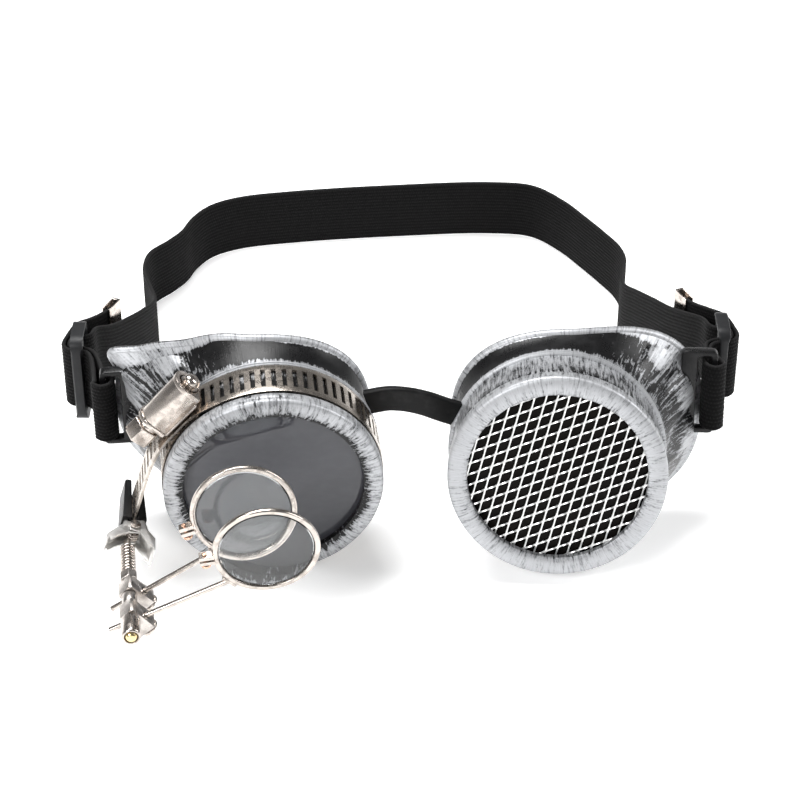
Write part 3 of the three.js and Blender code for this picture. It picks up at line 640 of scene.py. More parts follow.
@shared("handled_metal")
def handled_metal() -> bpy.types.NodeTree:
    """Plated or machined metal after some handling: faint draw lines, smudges and tiny dents."""
    plan = GroupPlan(
        "handled_metal",
        (("Position", "Vector", None), ("Line Scale", "Float", 1.0), ("Smudge", "Float", 0.5)),
        (("Tone", "Float"), ("Roughness", "Float"), ("Height", "Float")),
    )
    tree, start, end = plan.make()
    mm = tree.put("VectorMath", {0: start.outputs[0], "Scale": 1000.0}, operation="SCALE").outputs[0]
    lines = tree.noise(tree.stretch(mm, (6.0, 0.5, 6.0)), start.outputs["Line Scale"], 3.0)
    smudges = tree.noise(mm, 0.45, 3.0)
    pits = tree.put("TexVoronoi", {"Vector": mm, "Scale": 1.6}, feature="F1").outputs["Distance"]
    pit = tree.ramp(pits, 0.04, 0.13)
    dirt = tree.ramp(smudges, 0.42, 0.7)
    tone = tree.maths("SUBTRACT", 1.0, tree.maths("MULTIPLY", dirt, start.outputs["Smudge"]))
    tone = tree.maths("MULTIPLY", tone, tree.ramp(pit, 0.0, 1.0, 0.8, 1.0))
    rough = tree.maths("ADD", tree.maths("MULTIPLY", lines, 0.16), tree.maths("MULTIPLY", dirt, 0.12))
    height = tree.maths("ADD", tree.maths("MULTIPLY", lines, 0.35), tree.maths("MULTIPLY", pit, 0.4))
    for name, value in (("Tone", tone), ("Roughness", rough), ("Height", height)):
        tree.join(value, end.inputs[name])
    return tree.tree


@shared("soft_moulding")
def soft_moulding() -> bpy.types.NodeTree:
    """Moulded rubber or plastic: fine pebble, dull patches and a little pale dust."""
    plan = GroupPlan(
        "soft_moulding",
        (("Position", "Vector", None), ("Pebble", "Float", 5.0), ("Dust", "Float", 0.2)),
        (("Dusting", "Float"), ("Roughness", "Float"), ("Height", "Float")),
    )
    tree, start, end = plan.make()
    mm = tree.put("VectorMath", {0: start.outputs[0], "Scale": 1000.0}, operation="SCALE").outputs[0]
    pebble = tree.noise(mm, start.outputs["Pebble"], 2.0)
    dull = tree.noise(mm, 0.22, 3.0)
    specks = tree.put("TexVoronoi", {"Vector": mm, "Scale": 0.9}, feature="F1").outputs["Distance"]
    speck = tree.maths("SUBTRACT", 1.0, tree.ramp(specks, 0.02, 0.08))
    dust = tree.maths("ADD", tree.ramp(dull, 0.48, 0.75), speck, clamp=True)
    dusting = tree.maths("MULTIPLY", dust, start.outputs["Dust"])
    rough = tree.maths("ADD", tree.maths("MULTIPLY", pebble, 0.14), tree.maths("MULTIPLY", dull, 0.18))
    for name, value in (("Dusting", dusting), ("Roughness", rough), ("Height", pebble)):
        tree.join(value, end.inputs[name])
    return tree.tree


@shared("knitted_elastic")
def knitted_elastic() -> bpy.types.NodeTree:
    """Ribbed elastic: rows of small stitches along each rib and a paler, looped edge."""
    plan = GroupPlan(
        "knitted_elastic",
        (("Flow", "Vector", None), ("Rib Pitch", "Float", 1.1765), ("Stitch Pitch", "Float", 0.8)),
        (("Stitches", "Float"), ("Fuzz", "Float"), ("Height", "Float")),
    )
    tree, start, end = plan.make()
    parts = tree.put("SeparateXYZ", {0: start.outputs["Flow"]}).outputs
    rib = tree.maths("DIVIDE", parts[0], start.outputs["Rib Pitch"])
    row = tree.maths("FLOOR", rib)
    along = tree.maths("DIVIDE", parts[1], start.outputs["Stitch Pitch"])
    staggered = tree.maths("ADD", along, tree.maths("MULTIPLY", row, 0.5))
    stitch = tree.maths("PINGPONG", staggered, 0.5)
    valley = tree.maths("PINGPONG", rib, 0.5)
    loop = tree.maths("MULTIPLY", tree.ramp(stitch, 0.06, 0.4), tree.ramp(valley, 0.06, 0.4))
    fuzz = tree.noise(tree.stretch(start.outputs["Flow"], (5.0, 2.0, 5.0)), 1.0, 3.0)
    height = tree.maths("ADD", tree.maths("MULTIPLY", loop, 0.8), tree.maths("MULTIPLY", fuzz, 0.2))
    for name, value in (("Stitches", loop), ("Fuzz", fuzz), ("Height", height)):
        tree.join(value, end.inputs[name])
    return tree.tree


# ------------------------------------------------------------------ finishes
Colour = tuple[float, float, float, float]


def rgb(red: float, green: float, blue: float) -> Colour:
    """Returns an opaque colour."""
    return (red, green, blue, 1.0)


class Finish:
    """What every finish does: it starts a material and hands out its surface node."""

    name: str

    def start(self) -> tuple[bpy.types.Material, Tree, bpy.types.Node]:
        """Makes an empty material with its surface node."""
        material = bpy.data.materials.new(self.name)
        material.use_nodes = True
        tree = Tree(material.node_tree)
        surface = material.node_tree.nodes["Principled BSDF"]
        return material, tree, surface

    def bump(self, tree: Tree, surface: bpy.types.Node, height: Any, depth: float) -> None:
        """Wires a height, whose full swing is depth millimetres, into the surface."""
        node = tree.put("Bump", {"Height": height, "Distance": depth * MM, "Strength": 1.0})
        tree.join(node.outputs[0], surface.inputs["Normal"])


@dataclass(frozen=True)
class BrushedPaint(Finish):
    """Black plastic with silver dry-brushed over it, by the piece's own cover and strokes.

    Args:
        name: the material's name.
        under: the plastic's colour.
        silver, grey: the paint's colour where it lies thick and thin.
        width, length: one bristle's stroke, in millimetres.
        seed: moves the pattern.
    """

    name: str
    under: Colour = rgb(0.006, 0.006, 0.0065)
    silver: Colour = rgb(0.56, 0.57, 0.59)
    grey: Colour = rgb(0.11, 0.112, 0.118)
    width: float = 0.55
    length: float = 3.4
    seed: float = 0.0

    def make(self) -> bpy.types.Material:
        """Makes the material."""
        material, tree, surface = self.start()
        flow = tree.put("Attribute", attribute_name="flow").outputs["Vector"]
        cover = tree.put("Attribute", attribute_name="cover").outputs["Fac"]
        brush = tree.put("Group", node_tree=dry_brush())
        tree.join(flow, brush.inputs["Flow"])
        tree.join(cover, brush.inputs["Cover"])
        for key, value in (("Stroke Width", self.width), ("Stroke Length", self.length), ("Seed", self.seed)):
            brush.inputs[key].default_value = value
        place = tree.put("TexCoord").outputs["Object"]
        body = tree.put("Group", {"Position": place, "Pebble": 3.0, "Dust": 0.12}, node_tree=soft_moulding())
        paint = tree.blend(brush.outputs["Tone"], self.grey, self.silver)
        plastic = tree.blend(body.outputs["Dusting"], self.under, rgb(0.06, 0.06, 0.064))
        colour = tree.blend(brush.outputs["Mask"], plastic, paint)
        tree.join(colour, surface.inputs["Base Color"])
        tree.join(tree.maths("MULTIPLY", brush.outputs["Mask"], 0.55), surface.inputs["Metallic"])
        bare = tree.maths("ADD", body.outputs["Roughness"], 0.14)
        rough = tree.maths("ADD", bare, tree.maths("MULTIPLY", brush.outputs["Mask"], 0.16))
        tree.join(rough, surface.inputs["Roughness"])
        surface.inputs["Specular IOR Level"].default_value = 0.3
        self.bump(tree, surface, brush.outputs["Height"], 0.1)
        return material


@dataclass(frozen=True)
class Metal(Finish):
    """A plated or machined metal.

    Args:
        name: the material's name.
        colour, stain: the metal and its smudges.
        roughness: the least roughness.
        smudge: how strong the smudges are.
        depth: of the draw lines, in millimetres.
    """

    name: str
    colour: Colour
    stain: Colour
    roughness: float = 0.12
    smudge: float = 0.4
    depth: float = 0.012

    def make(self) -> bpy.types.Material:
        """Makes the material."""
        material, tree, surface = self.start()
        place = tree.put("TexCoord").outputs["Object"]
        worn = tree.put("Group", {"Position": place, "Smudge": self.smudge}, node_tree=handled_metal())
        colour = tree.blend(worn.outputs["Tone"], self.stain, self.colour)
        tree.join(colour, surface.inputs["Base Color"])
        rough = tree.maths("ADD", worn.outputs["Roughness"], self.roughness)
        tree.join(rough, surface.inputs["Roughness"])
        surface.inputs["Metallic"].default_value = 1.0
        self.bump(tree, surface, worn.outputs["Height"], self.depth)
        return material


@dataclass(frozen=True)
class Moulding(Finish):
    """Rubber or plain moulded plastic.

    Args:
        name: the material's name.
        colour, dust: the moulding and what lies on it.
        roughness: the least roughness.
        pebble: grains to the millimetre.
        dusting: how much dust shows.
        depth: of the pebble, in millimetres.
        shine: how strong its reflections are.
    """

    name: str
    colour: Colour
    dust: Colour = rgb(0.09, 0.09, 0.09)
    roughness: float = 0.35
    pebble: float = 5.0
    dusting: float = 0.12
    depth: float = 0.03
    shine: float = 0.25

    def make(self) -> bpy.types.Material:
        """Makes the material."""
        material, tree, surface = self.start()
        place = tree.put("TexCoord").outputs["Object"]
        inputs = {"Position": place, "Pebble": self.pebble, "Dust": self.dusting}
        body = tree.put("Group", inputs, node_tree=soft_moulding())
        colour = tree.blend(body.outputs["Dusting"], self.colour, self.dust)
        tree.join(colour, surface.inputs["Base Color"])
        rough = tree.maths("ADD", body.outputs["Roughness"], self.roughness)
        tree.join(rough, surface.inputs["Roughness"])
        surface.inputs["Specular IOR Level"].default_value = self.shine
        self.bump(tree, surface, body.outputs["Height"], self.depth)
        return material


@dataclass(frozen=True)
class Elastic(Finish):
    """Black ribbed elastic with a paler looped edge.

    Args:
        name: the material's name.
        valley, crest: the yarn between the stitches and on them.
        edge: the edge loops' colour.
    """

    name: str
    valley: Colour = rgb(0.0016, 0.0016, 0.0017)
    crest: Colour = rgb(0.0062, 0.006, 0.0062)
    edge: Colour = rgb(0.032, 0.0315, 0.032)

    def make(self) -> bpy.types.Material:
        """Makes the material."""
        material, tree, surface = self.start()
        flow = tree.put("Attribute", attribute_name="flow").outputs["Vector"]
        edging = tree.put("Attribute", attribute_name="cover").outputs["Fac"]
        knit = tree.put("Group", {"Flow": flow}, node_tree=knitted_elastic())
        yarn = tree.blend(knit.outputs["Stitches"], self.valley, self.crest)
        fuzz = tree.ramp(knit.outputs["Fuzz"], 0.3, 0.75)
        yarn = tree.blend(tree.maths("MULTIPLY", fuzz, 0.3), yarn, self.crest)
        looped = tree.maths("MULTIPLY", edging, tree.maths("ADD", tree.maths("MULTIPLY", fuzz, 0.6), 0.3))
        tree.join(tree.blend(looped, yarn, self.edge), surface.inputs["Base Color"])
        rough = tree.ramp(knit.outputs["Fuzz"], 0.2, 0.8, 0.72, 0.95)
        tree.join(rough, surface.inputs["Roughness"])
        surface.inputs["Sheen Weight"].default_value = 0.02
        surface.inputs["Sheen Roughness"].default_value = 0.5
        surface.inputs["Specular IOR Level"].default_value = 0.14
        self.bump(tree, surface, knit.outputs["Height"], 0.1)
        return material


@dataclass(frozen=True)
class Glazing(Finish):
    """A lens: clear glass or smoked plastic, with faint wipe marks.

    Args:
        name: the material's name.
        tint: the colour of what comes through.
        transmission: how much comes through.
        wipe: how rough the wipe marks are.
    """

    name: str
    tint: Colour
    transmission: float = 1.0
    wipe: float = 0.05
    ior: float = 1.5

    def make(self) -> bpy.types.Material:
        """Makes the material."""
        material, tree, surface = self.start()
        place = tree.put("TexCoord").outputs["Object"]
        marks = tree.noise(tree.stretch(place, (260.0, 90.0, 420.0)), 1.0, 4.0)
        tree.join(tree.ramp(marks, 0.45, 0.8, 0.015, self.wipe), surface.inputs["Roughness"])
        haze = tree.ramp(marks, 0.3, 0.8)
        pale = tuple(min(1.0, c * 1.08 + 0.004) for c in self.tint[:3]) + (1.0,)
        tree.join(tree.blend(haze, self.tint, pale), surface.inputs["Base Color"])
        surface.inputs["Transmission Weight"].default_value = self.transmission
        surface.inputs["IOR"].default_value = self.ior
        return material


class Palette(Enum):
    """The finishes used on the goggles."""

    LEFT_SILVER = BrushedPaint("silver_over_black_left", width=0.72, length=2.6, seed=3.0)
    RIGHT_SILVER = BrushedPaint("silver_over_black_right", width=0.6, length=3.6, seed=17.0)
    CUP = BrushedPaint("silver_over_black_cup", width=0.62, length=5.0, seed=9.0)
    NICKEL = Metal("warm_nickel", rgb(0.62, 0.565, 0.52), rgb(0.28, 0.24, 0.21), 0.12, 0.5)
    # Also on the shaft bar, where its darker tone is a painted shade between the spring's coils.
    BAND = Metal("band_nickel", rgb(0.6, 0.545, 0.49), rgb(0.28, 0.24, 0.2), 0.16, 0.5)
    STEEL = Metal("turned_steel", rgb(0.62, 0.58, 0.545), rgb(0.26, 0.23, 0.21), 0.2, 0.45)
    SATIN = Metal("satin_steel", rgb(0.78, 0.77, 0.75), rgb(0.5, 0.48, 0.46), 0.32, 0.3)
    COPPER = Metal("copper_screw", rgb(0.8, 0.52, 0.38), rgb(0.42, 0.24, 0.17), 0.14, 0.4)
    WIRE = Metal("grille_wire", rgb(0.9, 0.9, 0.89), rgb(0.55, 0.54, 0.53), 0.2, 0.3)
    BRASS = Metal("pale_brass", rgb(0.84, 0.68, 0.36), rgb(0.45, 0.33, 0.16), 0.12, 0.4)
    RUBBER = Moulding("black_rubber", rgb(0.004, 0.004, 0.0042), roughness=0.3, shine=0.2)
    BOOT = Moulding("boot_rubber", rgb(0.005, 0.005, 0.0053), roughness=0.2, dusting=0.05)
    SLIDER = Moulding("slider_moulding", rgb(0.016, 0.0165, 0.018), roughness=0.26, pebble=3.0, dusting=0.08)
    WEBBING = Elastic("black_elastic")
    SMOKED = Glazing("smoked_glazing", rgb(0.064, 0.065, 0.075), 0.3, 0.14)
    DARK_LENS = Moulding(
        "dark_lens", rgb(0.006, 0.0048, 0.0042), roughness=0.2, dusting=0.03, depth=0.004, shine=0.06,
    )
    CLEAR = Glazing("clear_glazing", rgb(0.95, 0.975, 0.975))

    def material(self) -> bpy.types.Material:
        """Returns the finish's material, made at its first use."""
        return bpy.data.materials.get(self.value.name) or self.value.make()


class Side(Enum):
    """Which cup, as it lies in front of the viewer."""

    LEFT = "left"
    RIGHT = "right"

    @property
    def sign(self) -> int:
        """Returns -1 for the left and 1 for the right."""
        return -1 if self is Side.LEFT else 1


# ------------------------------------------------------------------ eyecups
@dataclass
class Eyecup:
    """One eyecup with its screw ring, lens, face roll and strap loop."""

    side: Side
    slot_rise: float
    slot_reach: float
    slot_back: float = 35.2
    collar: float = 29.2
    collar_front: float = 4.7
    flange: float = 30.25
    flange_back: float = 18.2
    wall: float = 1.9
    depth: float = 25.5
    temple_sweep: float = 13.5
    segments: int = 216
    place: Place = field(init=False)

    def __post_init__(self) -> None:
        """Reads where the cup stands from its ring's joint."""
        turn = joint(f"ring_unscrew_{self.side.value}")
        self.place = upright_place(turn["pos_m"], turn["axis"])

    def face_reach(self, degrees: float) -> float:
        """Returns the reach of the face edge from its middle, a D drawn out at the upper temple."""
        c, s = abs(math.cos(math.radians(degrees))), abs(math.sin(math.radians(degrees)))
        right = self.side is Side.RIGHT
        wide = 34 if right and math.cos(math.radians(degrees)) > 0 else 35
        high = 27.7 if degrees < 180 else 29
        reach = ((c / wide) ** 2.5 + (s / high) ** 2.5) ** -0.4
        if right:
            return reach
        humps = ((5, 24, 6), (-3.6, 52, 20), (-1.2, 165, 25))
        return reach + sum(size * math.exp(-(((degrees - at) / width) ** 2)) for size, at, width in humps)

    def face_edge(self, angle: float, inset: float, back: float) -> Point:
        """Returns a point of the edge that rests on the face, at an angle round the cup."""
        reach = self.face_reach(math.degrees(angle) % 360) - inset
        u = 6 + reach * math.cos(angle)
        v = 4 + reach * math.sin(angle)
        sweep_back = self.temple_sweep * smooth((u - 2) / 46) ** 0.8
        return (self.side.sign * u, self.depth + sweep_back + back, v)

    def louvre(self, angle: float, t: float) -> float:
        """Returns how far a louvre stands out of the wall there."""
        lift = 0.0
        degrees = math.degrees(angle)
        degrees = degrees - 360 if degrees > 180 else degrees
        for centre in (-6, 17, 40):
            across = abs(degrees - centre) / 9.5
            if across < 1:
                along = smooth((t - 0.12) / 0.5) * smooth((0.795 - t) / 0.03)
                lift += 1.6 * math.sqrt(1 - across * across) * along
        return lift

    def wall_loop(self, t: float, inset: float, outside: bool) -> list[Point]:
        """Returns the wall's loop a share t of the way back from the flange."""
        loop = []
        for k in range(self.segments):
            angle = 2 * math.pi * k / self.segments
            front = self.collar + 0.6 - inset
            scale = 1 + (self.louvre(angle, t) if outside else 0.0) / 34
            u, w, v = self.face_edge(angle, inset, 0)
            spread = t ** 1.25
            loop.append((
                mix(self.side.sign * front * math.cos(angle), u, spread) * scale,
                mix(self.flange_back + 0.2, w, t),
                mix(front * math.sin(angle), v, spread) * scale,
            ))
        return loop

    def round_loop(self, radius: float, back: float) -> list[Point]:
        """Returns a round loop across the cup's axis."""
        turn = 2 * math.pi / self.segments
        sign = self.side.sign
        angles = [turn * k for k in range(self.segments)]
        return [(sign * radius * math.cos(a), back, radius * math.sin(a)) for a in angles]

    def paint(self, u: float, w: float, v: float) -> tuple[float, Point]:
        """Says how much silver the shell took there, and where that is along the strokes."""
        radius = math.hypot(u, v)
        angle = math.atan2(v, u * self.side.sign)
        round_it = (30 * math.cos(angle), 30 * math.sin(angle))
        temple = smooth((math.cos(angle) - 0.1) / 0.7)
        inner = radius < self.collar - 0.8
        if w < 16.5:
            left = self.side is Side.LEFT
            cover = 0.12 if inner else mix(0.18 if left else 0.5, 0.5 if left else 0.62, smooth((w - 4) / 13))
        elif w < 18.35:
            cover = 0.05 if inner else 0.85
        else:
            edge = self.face_edge(angle, 0, 0)
            t = (w - 18.4) / max(edge[1] - 18.4, 1.0)
            rim = smooth((t - mix(0.8, 0.66, temple)) / 0.2)
            root = 1 - smooth((t - 0.03) / 0.34)
            cover = max(mix(0.16, 0.46, temple), 0.56 * root, 0.74 * rim)
            crest = self.louvre(angle, t)
            cover = max(cover, min(crest / 1.7, 1.0) * 0.8 if t > 0.45 else cover)
            wall_radius = math.hypot(*[self.wall_point(angle, t)[i] for i in (0, 2)])
            if radius < wall_radius - 1.0:
                cover = 0.05
        return cover, (*round_it, w * 1.1)

    def wall_point(self, angle: float, t: float) -> Point:
        """Returns the plain outer wall's point there."""
        front = self.collar + 0.6
        u, w, v = self.face_edge(angle, 0, 0)
        spread = max(t, 0.0) ** 1.25
        return (
            mix(self.side.sign * front * math.cos(angle), u, spread),
            mix(18.4, w, t),
            mix(front * math.sin(angle), v, spread),
        )

    def shell(self) -> Piece:
        """Builds the cup from its threaded seat to the face edge, hollow."""
        c, f = self.collar, self.flange
        profile = [
            (c - 0.35, self.collar_front), (c, self.collar_front + 0.35), (c, 8.0), (c, 12.0), (c, 15.9),
            (c + 0.05, 16.35), (f - 0.35, 16.5), (f - 0.1, 16.7), (f - 0.1, 17.0), (f - 0.4, 17.15),
            (f - 0.75, 17.3), (f - 0.4, 17.45), (f - 0.05, 17.6), (f, 17.85), (f - 0.15, 18.15),
        ]
        loops = [self.round_loop(r, w) for r, w in profile]
        steps = [k / 30 for k in range(24)]
        steps += [0.782, 0.79, 0.797, 0.806, 0.82, 0.85, 0.88, 0.91, 0.94, 0.97, 1.0]
        loops += [self.wall_loop(t, 0, True) for t in steps]
        loops += [self.wall_loop(t / 12, self.wall, False) for t in range(12, -1, -1)]
        loops += [self.round_loop(r, w) for r, w in (
            (25.2, 16.6), (24.9, 16.0), (24.9, 5.6), (25.2, 5.3), (27.5, 5.3), (27.5, 5.0), (27.8, self.collar_front),
        )]
        piece = Piece(f"eyecup_{self.side.value}", "goggles", "cup_plastic", (f"cup_shell_{self.side.value}",))
        piece.build(loft(loops, joined=True), self.place, angle=50)
        return piece.brush(self.place, self.paint).dress(Palette.CUP.material())

    def face_roll(self) -> Piece:
        """Builds the rolled edge that rests on the face."""
        loops = []
        for k in range(self.segments):
            angle = 2 * math.pi * k / self.segments
            loop = []
            for j in range(14):
                turn = 2 * math.pi * (j + 0.5) / 14
                loop.append(self.face_edge(angle, 0.55 - 1.65 * math.cos(turn), 1.15 + 1.45 * math.sin(turn)))
            loops.append(loop)
        piece = Piece(f"face_roll_{self.side.value}", "goggles", "silver_brushed", (f"face_bead_{self.side.value}",))
        piece.build(loft(loops, joined=True), self.place, angle=80)

        def painter(u: float, w: float, v: float) -> tuple[float, Point]:
            """Covers the roll nearly all over, thinner behind."""
            angle = math.atan2(v - 4, (u * self.side.sign - 6))
            back = w - self.face_edge(angle, 0, 0)[1]
            return mix(0.74, 0.32, smooth((back - 0.9) / 1.3)), (36 * math.cos(angle), 36 * math.sin(angle), w * 1.1)

        return piece.brush(self.place, painter).dress(Palette.CUP.material())

    def strap_loop(self) -> Piece:
        """Builds the upright frame that the head strap goes round."""
        s = self.side.sign
        outline = fillet([(-6.5, -12.6), (3.6, -12.6), (3.6, 12.6), (-6.5, 12.6)], 1.6)
        slot = fillet([(-1.9, -11), (1.9, -11), (1.9, 11), (-1.9, 11)], 0.9)
        skin = extrude(outline, -1.5, 1.5, [slot])
        reach, back, rise = self.slot_reach, self.slot_back, self.slot_rise
        skin = skin.moved(lambda p: (s * (p[0] + reach), p[1] + back, p[2] + rise))
        piece = Piece(f"strap_loop_{self.side.value}", "goggles", "cup_plastic").build(skin, self.place, 0.6, 3)
        return piece.brush(self.place, lambda u, w, v: (0.26, (u * 0.7, v, w * 0.7))).dress(Palette.CUP.material())

    def ring(self) -> Piece:
        """Builds the screw ring with its rounded lip."""
        profile = [(24.6, 2.2), (24.6, 1.0)]
        for k in range(9):
            a = math.pi * (1 - k / 8)
            inner_ease = 0.15 if k == 0 else 0
            profile.append((27.2 + 2.75 * math.cos(a) + inner_ease, 1.15 - 1.15 * math.sin(a) ** 0.75))
        profile += [(30.0, 2.0), (29.9, 2.35), (30.0, 2.7), (30.0, 4.1), (29.75, 4.4)]
        profile += [(27.6, 4.4), (27.5, 4.2), (27.5, 2.2)]
        name = f"ring_{self.side.value}"
        piece = Piece(f"lens_ring_{self.side.value}", name, "silver_brushed", (f"screw_ring_{self.side.value}",))
        piece.build(lathe(profile, self.segments), self.place, angle=50)
        left = self.side is Side.LEFT

        def painter(u: float, w: float, v: float) -> tuple[float, Point]:
            """Covers the lip's crest well and its inner slope and outer wall less."""
            radius, angle = math.hypot(u, v), math.atan2(v, u)
            inner = 1 - smooth((radius - 24.7) / (2.6 if left else 1.0))
            cover = mix(0.68 if left else 0.76, 0.38 if left else 0.62, inner)
            if radius > 29.4:
                wall = mix(0.2, 0.66, smooth((v + 14) / 16)) if left else 0.64
                cover = mix(cover, wall, smooth((w - 0.9) / 1.4))
            return cover, (30 * math.cos(angle), 30 * math.sin(angle), (30 - radius) + w)

        look = Palette.LEFT_SILVER if left else Palette.RIGHT_SILVER
        return piece.brush(self.place, painter).dress(look.material())

    def lens(self) -> Piece:
        """Builds the lens behind the ring."""
        front, back = (2.25, 4.1) if self.side is Side.LEFT else (3.15, 5.0)
        profile = [(0.0, front), (9, front), (18, front), (26.6, front), (27.0, front + 0.2), (27.2, front + 0.5),
                   (27.2, back - 0.4), (26.9, back), (18, back), (0.0, back)]
        name = f"lens_{self.side.value}"
        piece = Piece(f"{name}_pane", f"lens_pack_{self.side.value}", "smoked_lens", (name,))
        piece.build(lathe(profile, 160), self.place, angle=40)
        return piece.dress((Palette.SMOKED if self.side is Side.LEFT else Palette.DARK_LENS).material())

    def build(self) -> list[Piece]:
        """Builds every piece of the cup."""
        return [self.shell(), self.face_roll(), self.strap_loop(), self.ring(), self.lens()]


@dataclass
class Grille:
    """The expanded-metal grille behind the right ring: two families of twisted strands."""

    cup: Eyecup
    pitch: float = 3.7
    strand: float = 0.46
    sheet: float = 0.42
    radius: float = 26.9
    angles: tuple[float, float] = (23.5, 77.0)

    def strand_skin(self, run: Vector, step: Vector, index: int, twist: float) -> Skin:
        """Builds one strand, a flat strip that twists between the crossings."""
        gap = abs(step.x * -run.y + step.y * run.x) * index * self.pitch
        base = step * index * self.pitch
        middle = -base.dot(run)
        reach = math.sqrt(max(self.radius ** 2 - gap ** 2, 0.0))
        if reach < 2:
            return Skin()
        across = Vector((-run.y, run.x))
        count = max(6, int(2 * reach / self.pitch * 8))
        loops = []
        for k in range(count + 1):
            s = middle - reach + 2 * reach * k / count
            turn = twist * math.sin(math.pi * s / self.pitch) ** 2
            wave = 0.16 * math.sin(math.pi * s / self.pitch) ** 2 * (1 if twist > 0 else -1)
            wide = self.strand / 2 * (1.0 + 0.3 * math.cos(math.pi * s / self.pitch) ** 6)
            loop = []
            for a, b in ((-1, -0.6), (-0.7, -1), (0.7, -1), (1, -0.6), (1, 0.6), (0.7, 1), (-0.7, 1), (-1, 0.6)):
                x, y = a * wide, b * self.sheet / 2
                x, y = x * math.cos(turn) - y * math.sin(turn), x * math.sin(turn) + y * math.cos(turn)
                at = base + run * s + across * x
                loop.append((at.x, 2.5 + y - wave, at.y))
            loops.append(loop)
        return loft(loops, caps=True)

    def build(self) -> list[Piece]:
        """Builds the strands and the rim strip that holds their ends."""
        a, b = (math.radians(x) for x in self.angles)
        p, q = Vector((math.cos(a), math.sin(a))), Vector((math.cos(b), math.sin(b)))
        skin = Skin()
        for i in range(-9, 10):
            skin.add(self.strand_skin(p, q, i, 0.6))
            skin.add(self.strand_skin(q, p, i, -0.6))
        rim = lathe([(25.9, 2.25), (27.1, 2.25), (27.1, 2.75), (25.9, 2.75)], 120)
        piece = Piece("grille_mesh", "lens_pack_right", "grille_steel", ("grille_right",))
        piece.build(skin.add(rim), self.cup.place, angle=35)
        return [piece.dress(Palette.WIRE.material())]


@dataclass
class Bridge:
    """The rubber bridge over the nose."""

    width: float = 7.4
    thickness: float = 2.2
    route: tuple[Point, ...] = (
        (-9.0, 8.5, 40.7), (-6.4, 8.3, 41.5), (-3, 8.1, 42.2), (2, 8, 41.9), (7, 8.1, 40.5), (11.5, 8.6, 38.3),
        (15.4, 9.2, 36.4),
    )

    def build(self) -> list[Piece]:
        """Builds the strip with rounded edges and a shallow groove along its face."""
        h, t = self.width / 2, self.thickness / 2
        section = fillet([(-t, -h), (t, -h), (t, h), (-t, h)], 0.75, 5)
        section = [(a * (1 - 0.12 * max(0.0, 1 - abs(b) / 2.4)), b) for a, b in section]
        path = [p + Vector((0, 0, h)) for p in spline(self.route, 12)]
        skin = sweep(path, section, Vector((0, 0, 1)), steady=True)
        piece = Piece("nose_bridge", "goggles", "rubber", ("bridge_strap",)).build(skin, table_place(), angle=60)
        return [piece.dress(Palette.RUBBER.material())]


